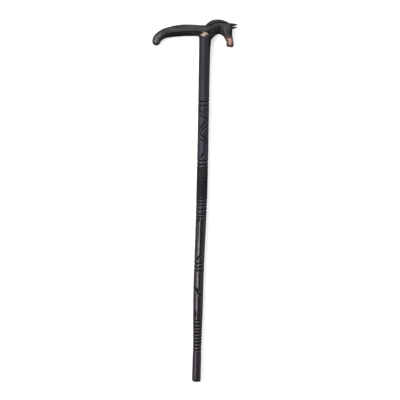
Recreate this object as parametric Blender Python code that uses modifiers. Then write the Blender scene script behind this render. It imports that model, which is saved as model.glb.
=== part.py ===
"""Hand carved wooden walking cane: a bowed stick, a cross handle with a horse's head, and a dowel.

The stick stands on its foot at the origin, +Z up. The horse's head points to +X and the grip's toe to -X.
"""
import math

import bmesh
import bpy
from mathutils import Matrix, Vector

# Stick
SHAFT_LENGTH = 0.8679           # flat of the foot to the joint under the handle
SHAFT_SIDES = 24
PLAIN_STEP = 0.030              # spacing of the cross sections where nothing is carved
FOOT_DIAMETER = 0.0219
WAIST_DIAMETER = 0.0214         # slimmest place, among the foot rings
LOWER_DIAMETER = 0.0248
MIDDLE_DIAMETER = 0.0258
UPPER_DIAMETER = 0.0278
JOINT_DIAMETER = 0.0290
FOOT_PLAIN = 0.055              # height over which the foot keeps its diameter
WAIST_HEIGHT = 0.088
LOWER_HEIGHT = 0.180
MIDDLE_HEIGHT = 0.330
UPPER_START = 0.462
UPPER_END = 0.760

# Foot end, cut by hand
FOOT_CHAMFER_HEIGHT = 0.0048
FOOT_CHAMFER_WIDTH = 0.0024
WORN_EDGE_HEIGHT = 0.0046       # the larger flat worn on the side under the grip
WORN_EDGE_WIDTH = 0.0052

# Sideways bow of the stick, as height and offset towards the horse's head
BOW = (
    (0.000, 0.0),
    (0.105, 0.0),
    (0.250, -0.0009),
    (0.345, 0.0001),
    (0.415, 0.0011),
    (0.545, 0.0012),
    (0.660, 0.0002),
    (0.770, -0.0009),
    (0.868, -0.0014),
)

# Flare of the stick into the throat of the handle
JOINT_SWELL = 0.0006
JOINT_SWELL_RUN = 0.031
THROAT_SWELL = 0.0013
THROAT_RADIUS = 0.0085
THROAT_START = 0.0008

# Ring grooves, lowest groove first
FOOT_RINGS_BASE = 0.0786
FOOT_RINGS_COUNT = 10
FOOT_RINGS_PITCH = 0.00823
LOWER_RINGS_BASE = 0.2776
LOWER_RINGS_COUNT = 3
LOWER_RINGS_PITCH = 0.0093
MIDDLE_RINGS_BASE = 0.4210
MIDDLE_RINGS_COUNT = 5
MIDDLE_RINGS_PITCH = 0.0093
LATTICE_RINGS_BASE = 0.5453
LATTICE_RINGS_COUNT = 2
LATTICE_RINGS_PITCH = 0.0102
TOP_RINGS_BASE = 0.6942
TOP_RINGS_COUNT = 2
TOP_RINGS_PITCH = 0.0089
GROOVE_WIDTH = 0.0044
GROOVE_FLOOR = 0.0009           # width at its bottom
GROOVE_DEPTH = 0.0012
BEAD_RISE = 0.00025             # crown of the wood left between two grooves

# Chisel cuts
CHEVRON_DEPTH = 0.0013
CHEVRON_WIDTH = 0.0044
LEAF_DEPTH = 0.0016
LEAF_WIDTH = 0.0058
CUT_LIFT = 0.0012               # how far a cutter stands out of the wood
CUT_RUN_OUT = 0.0003            # how far its edge has left the wood at its two ends
CUT_STEPS = 6

# Joint
GLUE_LINE = 0.0003
DOWEL_DIAMETER = 0.0140
DOWEL_IN_SHAFT = 0.0400
DOWEL_IN_HANDLE = 0.0220
DOWEL_CHAMFER = 0.0012
DOWEL_CLEARANCE = 0.0003
BORE_SPARE = 0.0008             # depth left past each end of the dowel
DOWEL_SIDES = 24

# Grip bar, measured from the middle of the joint
GRIP_REACH = 0.1329
GRIP_TOP = 0.0317
GRIP_DEPTH = 0.0293
GRIP_WIDTH = 0.0275
TOE_DROP = 0.0424               # height of the bar's top over the start of the toe's round end
TOE_THICKNESS = 0.0225
TOE_WIDTH = 0.0225
TOE_ROUND = 0.0100
GRIP_FULLNESS = 2.1             # 2 is an ellipse, more is squarer
GRIP_TOP_PINCH = 0.12           # share by which a section narrows towards its back or belly
GRIP_UNDER_PINCH = 0.10
RIDGE_LEVEL = -0.20             # of the ridge along the bar's sides, -1 at the belly and 1 at the back
UNDERCUT_DEPTH = 0.0017         # how far the bar's sides step in under the ridge
UNDERCUT_START = 0.0210         # from the toe
UNDERCUT_FADE = 0.0240
UNDERCUT_END = 0.0080           # towards the toe from the middle of the joint

# Neck and head, measured from the middle of the joint
NECK_START = 0.0060
NECK_WIDTH = 0.0215
THROAT_WIDTH = 0.0195
CREST_HEIGHT = 0.0440
THROAT_HEIGHT = 0.0091
CREST_PINCH = 0.36
THROAT_PINCH = 0.05
HEAD_REACH = 0.0732
HEAD_WIDTH = 0.0235
MUZZLE_WIDTH = 0.0160
MUZZLE_DROP = 0.0208
MUZZLE_ROUND = 0.0026
JOWL_LENGTH = 0.0190            # of the round cheek bone
JOWL_HEIGHT = 0.0250
JOWL_RISE = 0.0015

# Mane
MANE_RISE = 0.0030              # how far the mane stands above the neck's own crest
MANE_DEPTH = 0.0088
MANE_WIDTH = 0.0150
MANE_FULLNESS = 2.0
MANE_PINCH = 0.20

# Ears, eyes, nostrils and mouth
EAR_LENGTH = 0.0242             # from its root inside the poll to its tip
EAR_HEIGHT = 0.0104
EAR_THICKNESS = 0.0072
EAR_RISE = 0.0029               # of the upper ear's tip over its root
EAR_ROOT_SPREAD = 0.0032        # from the middle of the head to the middle of each ear
EAR_TIP_SPREAD = 0.0070
LOWER_EAR_DROP = 0.0085         # from the upper ear's root to the lower one's
LOWER_EAR_SHORT = 0.0025        # how much shorter the lower ear is
EAR_SHIFT = 0.0010              # from the upper ear's root forward to the lower one's
EAR_SIDES = 10
EYE_LENGTH = 0.0070
EYE_HEIGHT = 0.0050
EYE_DEPTH = 0.0013
NOSTRIL_LENGTH = 0.0032
NOSTRIL_HEIGHT = 0.0022
NOSTRIL_DEPTH = 0.0014
MOUTH_WIDTH = 0.0018            # of the V cut between the lips
MOUTH_DEPTH = 0.0013
MOUTH_LEVEL = -0.68             # its place on the muzzle, -1 at the chin and 1 at the nose
MOUTH_SECTIONS = 4              # of the head, from the corner of the mouth to the lips

HANDLE_SIDES = 24
RINGS_PER_SECTION = 3
SEAT_STEPS = 12
SHARP_ANGLE = 32                # degrees past which an edge is shaded crisp

EBONY = (0.035, 0.033, 0.038, 1.0)
BEECH = (0.52, 0.36, 0.21, 1.0)


def clear_scene():
    for item in list(bpy.data.objects):
        bpy.data.objects.remove(item, do_unlink=True)


def new_collection(name):
    group = bpy.data.collections.new(name)
    bpy.context.scene.collection.children.link(group)
    return group


def wood(name, colour, roughness):
    material = bpy.data.materials.new(name)
    material.use_nodes = True
    shader = material.node_tree.nodes["Principled BSDF"]
    shader.inputs["Base Color"].default_value = colour
    shader.inputs["Roughness"].default_value = roughness
    shader.inputs["Metallic"].default_value = 0.0
    return material


def new_object(name, mesh, group, material=None):
    item = bpy.data.objects.new(name, mesh)
    group.objects.link(item)
    if material:
        mesh.materials.clear()
        mesh.materials.append(material)
    return item


def mark_cutter(item):
    item.hide_render = True
    item.display_type = "WIRE"
    return item


def evaluated_mesh(item):
    """The item's mesh with its modifiers worked in."""
    graph = bpy.context.evaluated_depsgraph_get()
    return bpy.data.meshes.new_from_object(item.evaluated_get(graph))


def smooth_value(table, at, column=1):
    """A smooth curve through the rows of a table, read at a value of its first column."""
    last = len(table) - 1
    at = min(max(at, table[0][0]), table[last][0])
    row = 0
    while row < last - 1 and at > table[row + 1][0]:
        row += 1

    def slope(i):
        before, after = max(i - 1, 0), min(i + 1, last)
        return (table[after][column] - table[before][column]) / (table[after][0] - table[before][0])

    start, end = table[row], table[row + 1]
    span = end[0] - start[0]
    t = (at - start[0]) / span
    rise = t * t * (3 - 2 * t)
    leave = t * (1 - t) ** 2 * span * slope(row)
    arrive = -t * t * (1 - t) * span * slope(row + 1)
    return start[column] + (end[column] - start[column]) * rise + leave + arrive


def loft(name, rings):
    """A closed skin over rings of equal length, each end closed by one flat face."""
    shape = bmesh.new()
    loops = [[shape.verts.new(point) for point in ring] for ring in rings]
    count = len(loops[0])
    for first, second in zip(loops, loops[1:]):
        for i in range(count):
            j = (i + 1) % count
            shape.faces.new((first[i], first[j], second[j], second[i]))
    shape.faces.new(reversed(loops[0]))
    shape.faces.new(loops[-1])
    bmesh.ops.recalc_face_normals(shape, faces=shape.faces)
    mesh = bpy.data.meshes.new(name)
    shape.to_mesh(mesh)
    shape.free()
    shade(mesh)
    return mesh


def shade(mesh):
    mesh.shade_smooth()
    mesh.set_sharp_from_angle(angle=math.radians(SHARP_ANGLE))


def turned(name, profile, sides, group):
    """Turns a profile of (radius, height) points about Z, top to bottom down its outer side."""
    mesh = bpy.data.meshes.new(name + "_profile")
    points = [(radius, 0.0, height) for radius, height in profile]
    mesh.from_pydata(points, [(i, i + 1) for i in range(len(points) - 1)], [])
    blank = new_object(name + "_profile", mesh, group)
    screw = blank.modifiers.new("turn", "SCREW")
    screw.axis = "Z"
    screw.angle = 2 * math.pi
    screw.steps = sides
    screw.render_steps = sides
    screw.use_merge_vertices = True
    screw.merge_threshold = 0.00005
    solid = evaluated_mesh(blank)
    bpy.data.objects.remove(blank, do_unlink=True)
    solid.name = name
    shade(solid)
    return solid


def boolean(item, tool, operation):
    step = item.modifiers.new(tool.name, "BOOLEAN")
    step.operation = operation
    step.solver = "EXACT"
    step.object = tool


# Stick

def taper():
    return (
        (0.0, FOOT_DIAMETER),
        (FOOT_PLAIN, FOOT_DIAMETER),
        (WAIST_HEIGHT, WAIST_DIAMETER),
        (LOWER_HEIGHT, LOWER_DIAMETER),
        (MIDDLE_HEIGHT, MIDDLE_DIAMETER),
        (UPPER_START, UPPER_DIAMETER),
        (UPPER_END, UPPER_DIAMETER),
        (SHAFT_LENGTH, JOINT_DIAMETER),
    )


def shaft_radius(height):
    return smooth_value(taper(), height) / 2


def bow(height):
    return smooth_value(BOW, height)


def ring_bands():
    return (
        (FOOT_RINGS_BASE, FOOT_RINGS_COUNT, FOOT_RINGS_PITCH),
        (LOWER_RINGS_BASE, LOWER_RINGS_COUNT, LOWER_RINGS_PITCH),
        (MIDDLE_RINGS_BASE, MIDDLE_RINGS_COUNT, MIDDLE_RINGS_PITCH),
        (LATTICE_RINGS_BASE, LATTICE_RINGS_COUNT, LATTICE_RINGS_PITCH),
        (TOP_RINGS_BASE, TOP_RINGS_COUNT, TOP_RINGS_PITCH),
    )


def carved_profile():
    """Heights of the stick's cross sections, each with how far its surface stands out or in."""
    half = GROOVE_WIDTH / 2
    carved = {}
    for base, count, pitch in ring_bands():
        for i in range(count):
            middle = base + i * pitch
            carved[middle - half] = 0.0
            carved[middle - GROOVE_FLOOR / 2] = -GROOVE_DEPTH
            carved[middle + GROOVE_FLOOR / 2] = -GROOVE_DEPTH
            carved[middle + half] = 0.0
            if i + 1 < count:
                carved[middle + pitch / 2] = BEAD_RISE
    top = SHAFT_LENGTH
    marks = sorted(carved) + [top]
    plain = {0.0: -FOOT_CHAMFER_WIDTH, FOOT_CHAMFER_HEIGHT: 0.0}
    start = FOOT_CHAMFER_HEIGHT
    for mark in marks:
        steps = max(1, round((mark - start) / PLAIN_STEP))
        for i in range(1, steps):
            plain[start + (mark - start) * i / steps] = 0.0
        start = mark
    for run in (0.018, 0.009, 0.0055, 0.003, 0.0015, 0.0006):
        plain[top - run] = 0.0
    carved.update(plain)
    carved[top] = 0.0
    return sorted(carved.items())


def throat_flare(below):
    """How far the wood under the horse's throat stands out, this far below the joint."""
    gentle = THROAT_SWELL * max(0.0, 1 - below / JOINT_SWELL_RUN)
    reach = min(below + THROAT_START, THROAT_RADIUS)
    return gentle + THROAT_RADIUS - math.sqrt(THROAT_RADIUS ** 2 - (THROAT_RADIUS - reach) ** 2)


def joint_swell(below):
    return JOINT_SWELL * max(0.0, 1 - below / JOINT_SWELL_RUN) ** 2


def surface_point(angle, height):
    """A point of the stick's surface. Angle 0 faces -Y and grows towards the horse's head."""
    radius = shaft_radius(height)
    return Vector((bow(height) + radius * math.sin(angle), -radius * math.cos(angle), height))


def cut_section(here, out, ahead, sink, slope):
    """Cross section of a V cut's cutter, whose point lies this deep under a place on the wood."""
    side = out.cross(ahead).normalized()
    spread = (sink + CUT_LIFT) * slope
    crown = here + out * CUT_LIFT
    return (crown + side * spread, crown - side * spread, here - out * sink)


def chisel_cut(name, start, end, depth, width, group):
    """A V cut that sinks in and runs out along the surface between two (degrees, height) places."""
    rings = []
    for i in range(CUT_STEPS + 1):
        t = i / CUT_STEPS
        angle = math.radians(start[0] + (end[0] - start[0]) * t)
        height = start[1] + (end[1] - start[1]) * t
        sink = (depth + CUT_RUN_OUT) * math.sin(math.pi * t) ** 0.6 - CUT_RUN_OUT
        ahead = surface_point(angle + math.radians(end[0] - start[0]) * 0.01,
                              height + (end[1] - start[1]) * 0.01)
        here = surface_point(angle, height)
        out = Vector((math.sin(angle), -math.cos(angle), 0.0))
        rings.append(cut_section(here, out, ahead - here, sink, width / 2 / depth))
    return mark_cutter(new_object(name, loft(name, rings), group))


def zigzag_cuts():
    """Chevron lines as start and end, each (degrees from the front, height)."""
    return (
        ((-66, 0.6860), (0, 0.6760)),
        ((-62, 0.6755), (58, 0.6565)),
        ((40, 0.6565), (-52, 0.6340)),
        ((58, 0.6475), (-46, 0.6260)),
        ((-50, 0.6275), (58, 0.6055)),
        ((-46, 0.6135), (46, 0.5990)),
    )


def leaf_cuts():
    """Single leaf shaped cuts, in the same form."""
    return (
        ((22, 0.5765), (-28, 0.5630)),
        ((-16, 0.4125), (-50, 0.3970)),
        ((4, 0.3180), (-38, 0.3050)),
        ((-66, 0.2405), (16, 0.2275)),
        ((-62, 0.2345), (44, 0.2145)),
        ((-36, 0.1785), (-34, 0.1630)),
    )


def worn_edge(group):
    """A block whose sloped face takes the worn corner off the foot."""
    length = math.hypot(WORN_EDGE_WIDTH, WORN_EDGE_HEIGHT)
    slope = math.atan2(WORN_EDGE_HEIGHT, WORN_EDGE_WIDTH)
    shape = bmesh.new()
    bmesh.ops.create_cube(shape, size=1.0)
    bmesh.ops.scale(shape, verts=shape.verts, vec=(length * 3, FOOT_DIAMETER * 1.5, length))
    bmesh.ops.translate(shape, verts=shape.verts, vec=(0.0, 0.0, -length / 2))
    bmesh.ops.rotate(shape, verts=shape.verts, matrix=Matrix.Rotation(slope, 3, "Y"))
    middle = Vector((-FOOT_DIAMETER / 2 + WORN_EDGE_WIDTH / 2, 0.0, WORN_EDGE_HEIGHT / 2))
    bmesh.ops.translate(shape, verts=shape.verts, vec=middle)
    mesh = bpy.data.meshes.new("worn_edge")
    shape.to_mesh(mesh)
    shape.free()
    return mark_cutter(new_object("worn_edge", mesh, group))


def make_shaft(parts, cutters, material):
    bore = DOWEL_DIAMETER / 2 + DOWEL_CLEARANCE
    bore_floor = SHAFT_LENGTH - DOWEL_IN_SHAFT - BORE_SPARE
    profile = [(0.0, bore_floor), (bore, bore_floor), (bore, SHAFT_LENGTH)]
    for height, stand in reversed(carved_profile()):
        profile.append((shaft_radius(height) + stand, height))
    profile.append((0.0, 0.0))
    mesh = turned("shaft", profile, SHAFT_SIDES, parts)
    for vertex in mesh.vertices:
        place = vertex.co
        radius = math.hypot(place.x, place.y)
        below = SHAFT_LENGTH - place.z
        if radius > bore + DOWEL_CLEARANCE and below < JOINT_SWELL_RUN:
            swell = joint_swell(below)
            forward = max(0.0, place.x) / radius
            place.x += swell * place.x / radius + throat_flare(below) * forward
            place.y += swell * place.y / radius
        in_bore = radius < bore + DOWEL_CLEARANCE and place.z >= bore_floor
        place.x += bow(SHAFT_LENGTH if in_bore else place.z)
    shaft = new_object("shaft", mesh, parts, material)
    for turn in (0, 180):
        for kind, cuts, depth, width in (("chevron", zigzag_cuts(), CHEVRON_DEPTH, CHEVRON_WIDTH),
                                         ("leaf", leaf_cuts(), LEAF_DEPTH, LEAF_WIDTH)):
            for i, (start, end) in enumerate(cuts):
                name = "%s_cut_%d_%d" % (kind, turn, i + 1)
                tool = chisel_cut(name, (start[0] + turn, start[1]), (end[0] + turn, end[1]),
                                  depth, width, cutters)
                boolean(shaft, tool, "DIFFERENCE")
    boolean(shaft, worn_edge(cutters), "DIFFERENCE")
    return shaft


# Handle

def joint_middle():
    return Vector((bow(SHAFT_LENGTH), 0.0, SHAFT_LENGTH + GLUE_LINE))


def eased(low, high, value):
    """0 below low and 1 above high, with a smooth rise between them."""
    t = min(max((value - low) / (high - low), 0.0), 1.0)
    return t * t * (3 - 2 * t)


def section_half(along, width, fullness, outer_pinch, inner_pinch):
    """Half the width of a section at a level from -1, its belly point, to 1, its back point."""
    across = (1 - abs(along) ** fullness) ** (1 / fullness)
    pinch = 1 - outer_pinch * max(0.0, along) ** 1.5 - inner_pinch * max(0.0, -along) ** 1.5
    return across * pinch * width / 2


def section_ring(outer, inner, width, fullness, outer_pinch, inner_pinch):
    """One cross section between a point on the back line and one on the belly line."""
    middle = (outer + inner) / 2
    reach = (outer - inner) / 2
    ridge = undercut_share(middle.x)
    ring = []
    for i in range(HANDLE_SIDES):
        angle = 2 * math.pi * i / HANDLE_SIDES
        along = math.copysign(abs(math.sin(angle)) ** (2 / fullness), math.sin(angle))
        along += ridge * RIDGE_LEVEL * (1 - along ** 2)
        half = section_half(along, width, fullness, outer_pinch, inner_pinch)
        if along < RIDGE_LEVEL - 0.05:
            half -= UNDERCUT_DEPTH * ridge * half / (width / 2)
        half = math.copysign(half, math.cos(angle))
        place = middle + reach * along
        ring.append(place + Vector((0.0, half + jowl(place, half), 0.0)))
    return ring


def undercut_share(x):
    """How much of the undercut there is at a place along the bar, fading out at its two ends."""
    start = bow(SHAFT_LENGTH) - GRIP_REACH + UNDERCUT_START
    end = bow(SHAFT_LENGTH) - UNDERCUT_END
    return eased(start, start + UNDERCUT_FADE, x) * (1 - eased(end - UNDERCUT_FADE / 2, end, x))


def jowl(place, side):
    """How far the round cheek bone stands out of the side of the head."""
    middle = joint_middle() + Vector((HEAD_REACH - 0.0217, 0.0, CREST_HEIGHT - 0.0275))
    across = 2 * (place.x - middle.x) / JOWL_LENGTH
    down = 2 * (place.z - middle.z) / JOWL_HEIGHT
    rise = JOWL_RISE * (1 - eased(0.25, 1.25, math.hypot(across, down)))
    return math.copysign(rise, side) if abs(side) > 0.25 * HEAD_WIDTH else 0.0


def rounded_end(ring, axis, length, steps, squareness):
    """Rings that close one end of a loft in a dome, not counting the given one."""
    middle = sum(ring, Vector()) / len(ring)
    rings = []
    for i in range(1, steps + 1):
        t = i / (steps + 0.35)
        shrink = (1 - t ** squareness) ** (1 / squareness)
        rings.append([middle + (point - middle) * shrink + axis * length * t for point in ring])
    return rings


def shaped(rows, fullness, outer_pinch, inner_pinch):
    """Gives rows of (back x, back z, belly x, belly z, width) one cross section shape."""
    return [row + (fullness, outer_pinch, inner_pinch) for row in rows]


def grip_sections():
    """Back point, belly point and width of each section of the grip bar, from toe to neck."""
    toe = -GRIP_REACH
    top = GRIP_TOP
    under = GRIP_TOP - GRIP_DEPTH
    inside = toe + TOE_THICKNESS
    wide = GRIP_WIDTH
    bend = (TOE_WIDTH + GRIP_WIDTH) / 2
    rows = (
        (toe, top - TOE_DROP, inside, top - TOE_DROP - 0.0030, TOE_WIDTH),
        (toe + 0.0027, top - 0.78 * TOE_DROP, inside + 0.0030, under - 0.0123, TOE_WIDTH + 0.0014),
        (toe + 0.0104, top - 0.56 * TOE_DROP, inside + 0.0086, under - 0.0089, bend),
        (toe + 0.0214, top - 0.36 * TOE_DROP, inside + 0.0149, under - 0.0066, wide - 0.0012),
        (toe + 0.0357, top - 0.0091, inside + 0.0262, under - 0.0047, wide - 0.0006),
        (toe * 0.583, top - 0.0038, toe * 0.530, under - 0.0028, wide),
        (toe * 0.422, top - 0.0005, toe * 0.395, under - 0.0010, wide),
        (toe * 0.233, top, toe * 0.233, under, wide),
        (-0.0140, top - 0.0016, -0.0140, under, wide),
        (NECK_START - 0.0085, top - 0.0014, NECK_START - 0.0085, under, wide),
        (NECK_START - 0.0010, top + 0.0004, NECK_START - 0.0004, under, wide - 0.0006),
    )
    return shaped(rows, GRIP_FULLNESS, GRIP_TOP_PINCH, GRIP_UNDER_PINCH)


def neck_sections():
    """The same for the neck, from its step at the bar to the poll."""
    top = CREST_HEIGHT
    throat = THROAT_HEIGHT
    step = GRIP_TOP + 0.0014
    under = GRIP_TOP - GRIP_DEPTH
    reach = HEAD_REACH
    rows = (
        (NECK_START + 0.0006, step, NECK_START + 0.0012, under, NECK_WIDTH + 0.0018),
        (reach * 0.205, top - 0.0062, reach * 0.235, under - 0.0006, NECK_WIDTH + 0.0010),
        (reach * 0.350, top - 0.0008, reach * 0.355, throat - 0.0030, NECK_WIDTH - 0.0006),
        (reach * 0.495, top - 0.0004, reach * 0.470, throat, THROAT_WIDTH),
        (reach * 0.635, top - 0.0028, reach * 0.528, throat - 0.0008, THROAT_WIDTH),
    )
    return shaped(rows, GRIP_FULLNESS, CREST_PINCH, THROAT_PINCH)


def head_sections():
    """Sections of the head from the poll to the lips, each with its fullness and pinches."""
    reach = HEAD_REACH
    top = CREST_HEIGHT
    down = -MUZZLE_DROP
    wide = HEAD_WIDTH
    lips = MUZZLE_WIDTH
    return [
        (reach - 0.0158, top - 0.0072, reach - 0.0308, 0.0068, wide - 0.0022, 2.2, 0.34, 0.16),
        (reach - 0.0072, top - 0.0118, reach - 0.0280, 0.0044, wide - 0.0006, 2.3, 0.30, 0.20),
        (reach - 0.0048, 0.0228, reach - 0.0257, 0.0022, wide, 2.3, 0.26, 0.22),
        (reach - 0.0045, 0.0119, reach - 0.0237, -0.0015, wide - 0.0030, 2.3, 0.22, 0.24),
        (reach - 0.0038, 0.0044, reach - 0.0216, -0.0046, wide - 0.0062, 2.3, 0.16, 0.24),
        (reach - 0.0022, -0.0032, reach - 0.0192, -0.0078, lips, 2.3, 0.10, 0.22),
        (reach - 0.0009, down + 0.0101, reach - 0.0172, down + 0.0088, lips - 0.0004, 2.4, 0.06, 0.18),
        (reach, down + 0.0041, reach - 0.0176, down + 0.0036, lips, 2.5, 0.06, 0.20),
        (reach - 0.0008, down, reach - 0.0159, down, lips - 0.0018, 2.5, 0.08, 0.18),
    ]


def mane_sections():
    """Sections of the mane, which lies along the crest and tapers at both ends."""
    reach = HEAD_REACH
    top = CREST_HEIGHT + MANE_RISE
    low = top - MANE_DEPTH
    deep = MANE_DEPTH
    wide = MANE_WIDTH
    back = NECK_START
    rows = (
        (back - 0.0070, GRIP_TOP, back - 0.0055, GRIP_TOP - 0.0035, wide * 0.45),
        (back - 0.0018, top - 0.0110, back + 0.0018, top - 0.0110 - deep * 0.8, wide * 0.86),
        (reach * 0.200, top - 0.0038, reach * 0.240, low - 0.0036, wide),
        (reach * 0.365, top - 0.0007, reach * 0.380, low - 0.0008, wide),
        (reach * 0.500, top - 0.0006, reach * 0.490, top - 0.0008 - deep * 0.86, wide * 0.96),
        (reach * 0.650, top - 0.0030, reach * 0.618, top - 0.0030 - deep * 0.66, wide * 0.88),
        (reach - 0.0152, top - 0.0076, reach - 0.0182, top - 0.0072 - deep * 0.54, wide * 0.74),
        (reach - 0.0088, top - 0.0146, reach - 0.0122, top - 0.0136 - deep * 0.26, wide * 0.44),
    )
    return shaped(rows, MANE_FULLNESS, MANE_PINCH, 0.0)


def loft_sections(sections, origin):
    """Rings through the sections, with smooth rings put in between them."""
    rows = [(float(i), *section) for i, section in enumerate(sections)]
    rings = []
    for i in range((len(rows) - 1) * RINGS_PER_SECTION + 1):
        at = i / RINGS_PER_SECTION
        value = [smooth_value(rows, at, column) for column in range(1, 9)]
        outer = origin + Vector((value[0], 0.0, value[1]))
        inner = origin + Vector((value[2], 0.0, value[3]))
        rings.append(section_ring(outer, inner, value[4], value[5], value[6], value[7]))
    return rings


def ring_axis(ring, towards):
    """The direction square to a section ring, on the side of a given direction."""
    back = ring[HANDLE_SIDES // 4] - ring[3 * HANDLE_SIDES // 4]
    axis = Vector((0.0, 1.0, 0.0)).cross(back).normalized()
    return axis if axis.dot(towards) > 0 else -axis


def seat_rings(origin):
    """The short neck on the stick's end, from the joint up into the bar."""
    back = joint_swell(0.0) + JOINT_DIAMETER / 2
    front = back + throat_flare(0.0)
    half = JOINT_DIAMETER / 2 + joint_swell(0.0)
    rows = (
        (0.0, 0.0, 0.0, 0.0),
        (0.0008, 0.0008, 0.0006, 0.0001),
        (0.0018, 0.0021, 0.0013, 0.0004),
        (0.0030, 0.0050, 0.0022, 0.0009),
        (0.0055, 0.0090, 0.0050, 0.0022),
        (0.0090, 0.0100, 0.0090, 0.0044),
        (0.0120, 0.0060, 0.0060, 0.0070),
    )
    rings = []
    for step in range(SEAT_STEPS + 1):
        up = rows[-1][0] * (step / SEAT_STEPS) ** 1.5
        spread_back, spread_front, narrow = [smooth_value(rows, up, column) for column in (1, 2, 3)]
        ring = []
        for i in range(SHAFT_SIDES):
            angle = 2 * math.pi * i / SHAFT_SIDES
            forward = math.cos(angle)
            reach = front + spread_front if forward > 0 else back + spread_back
            ring.append(origin + Vector((reach * forward, (half - narrow) * math.sin(angle), up)))
        rings.append(ring)
    return rings


def ear_rings(root, length, rise, side):
    """Sections of a leaf shaped ear, from inside the poll to its tip, leaning outwards."""
    rings = []
    for share, size in ((0.0, 0.96), (0.24, 1.0), (0.48, 0.90), (0.70, 0.64), (0.90, 0.28), (1.0, 0.06)):
        spread = EAR_ROOT_SPREAD + (EAR_TIP_SPREAD - EAR_ROOT_SPREAD) * share ** 0.7
        middle = root + Vector((length * share, side * spread, rise * share ** 1.4))
        ring = []
        for i in range(EAR_SIDES):
            angle = 2 * math.pi * i / EAR_SIDES
            ring.append(middle + Vector((0.0, EAR_THICKNESS / 2 * size * math.cos(angle),
                                         EAR_HEIGHT / 2 * size * math.sin(angle))))
        rings.append(ring)
    return rings


def make_ear(name, rings, group):
    return mark_cutter(new_object(name, loft(name, rings), group))


def oval(name, middle, size, group):
    shape = bmesh.new()
    bmesh.ops.create_uvsphere(shape, u_segments=12, v_segments=8, radius=0.5)
    bmesh.ops.scale(shape, verts=shape.verts, vec=size)
    bmesh.ops.translate(shape, verts=shape.verts, vec=middle)
    mesh = bpy.data.meshes.new(name)
    shape.to_mesh(mesh)
    shape.free()
    return mark_cutter(new_object(name, mesh, group))


def mouth_line(side, origin, group):
    """A V cut up the side of the muzzle, from the lips to the corner of the mouth."""
    places = []
    for section in head_sections()[-MOUTH_SECTIONS:]:
        outer = Vector((section[0], 0.0, section[1]))
        inner = Vector((section[2], 0.0, section[3]))
        across = Vector((0.0, side * section_half(MOUTH_LEVEL, *section[4:]), 0.0))
        out = (outer - inner) / 2 * MOUTH_LEVEL + across
        places.append((origin + (outer + inner) / 2 + out, out.normalized()))
    corner, lips = places[0][0], places[-1][0]
    ahead = lips - corner
    places.append((lips + ahead.normalized() * MUZZLE_ROUND * 2, places[-1][1]))
    rings = []
    for i, (place, out) in enumerate(places):
        sink = min(MOUTH_DEPTH, (MOUTH_DEPTH + CUT_RUN_OUT) * i / 2 - CUT_RUN_OUT)
        rings.append(cut_section(place, out, ahead, sink, MOUTH_WIDTH / 2 / MOUTH_DEPTH))
    return mark_cutter(new_object("mouth_line_%d" % (side + 2), loft("mouth_line", rings), group))


def make_handle(parts, cutters, material):
    origin = joint_middle()
    rings = loft_sections(grip_sections() + neck_sections() + head_sections(), origin)
    toe = rounded_end(rings[0], ring_axis(rings[0], Vector((0.0, 0.0, -1.0))), TOE_ROUND, 5, 2.0)
    lips = rounded_end(rings[-1], ring_axis(rings[-1], Vector((0.0, 0.0, -1.0))), MUZZLE_ROUND, 3, 2.6)
    handle = new_object("handle", loft("handle", toe[::-1] + rings + lips), parts, material)

    mane_rings = loft_sections(mane_sections(), origin)
    mane = mark_cutter(new_object("mane", loft("mane", mane_rings), cutters))
    seat = mark_cutter(new_object("seat", loft("seat", seat_rings(origin)), cutters))
    boolean(handle, seat, "UNION")
    boolean(handle, mane, "UNION")

    poll = origin + Vector((HEAD_REACH - 0.0152, 0.0, CREST_HEIGHT - 0.0115))
    brow = poll + Vector((EAR_SHIFT, 0.0, -LOWER_EAR_DROP))
    upper = ear_rings(poll, EAR_LENGTH, EAR_RISE, 1)
    lower = ear_rings(brow, EAR_LENGTH - LOWER_EAR_SHORT, EAR_RISE * 0.6, -1)
    boolean(handle, make_ear("upper_ear", upper, cutters), "UNION")
    boolean(handle, make_ear("lower_ear", lower, cutters), "UNION")

    for side in (-1, 1):
        socket = Vector((HEAD_REACH - 0.0114, side * (HEAD_WIDTH / 2 - 0.0016), 0.0150))
        eye = oval("eye_socket_%d" % (side + 2), origin + socket,
                   (EYE_LENGTH, EYE_DEPTH * 2, EYE_HEIGHT), cutters)
        wing = Vector((HEAD_REACH - 0.0035, side * MUZZLE_WIDTH * 0.44, 0.0050 - MUZZLE_DROP))
        nostril = oval("nostril_%d" % (side + 2), origin + wing,
                       (NOSTRIL_HEIGHT, NOSTRIL_DEPTH * 2, NOSTRIL_LENGTH), cutters)
        boolean(handle, eye, "DIFFERENCE")
        boolean(handle, nostril, "DIFFERENCE")
        boolean(handle, mouth_line(side, origin, cutters), "DIFFERENCE")

    bore = DOWEL_DIAMETER / 2 + DOWEL_CLEARANCE
    deep = DOWEL_IN_HANDLE + BORE_SPARE
    profile = ((0.0, deep), (bore, deep), (bore, -0.002), (0.0, -0.002))
    bit = turned("dowel_bore", profile, DOWEL_SIDES, cutters)
    drill = mark_cutter(new_object("dowel_bore", bit, cutters))
    drill.location = origin
    boolean(handle, drill, "DIFFERENCE")
    return handle


# Dowel

def make_dowel(parts, material):
    radius = DOWEL_DIAMETER / 2
    profile = (
        (0.0, DOWEL_IN_HANDLE),
        (radius - DOWEL_CHAMFER, DOWEL_IN_HANDLE),
        (radius, DOWEL_IN_HANDLE - DOWEL_CHAMFER),
        (radius, -DOWEL_IN_SHAFT + DOWEL_CHAMFER),
        (radius - DOWEL_CHAMFER, -DOWEL_IN_SHAFT),
        (0.0, -DOWEL_IN_SHAFT),
    )
    mesh = turned("joint_dowel", profile, DOWEL_SIDES, parts)
    dowel = new_object("joint_dowel", mesh, parts, material)
    dowel.location = joint_middle()
    return dowel


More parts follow.
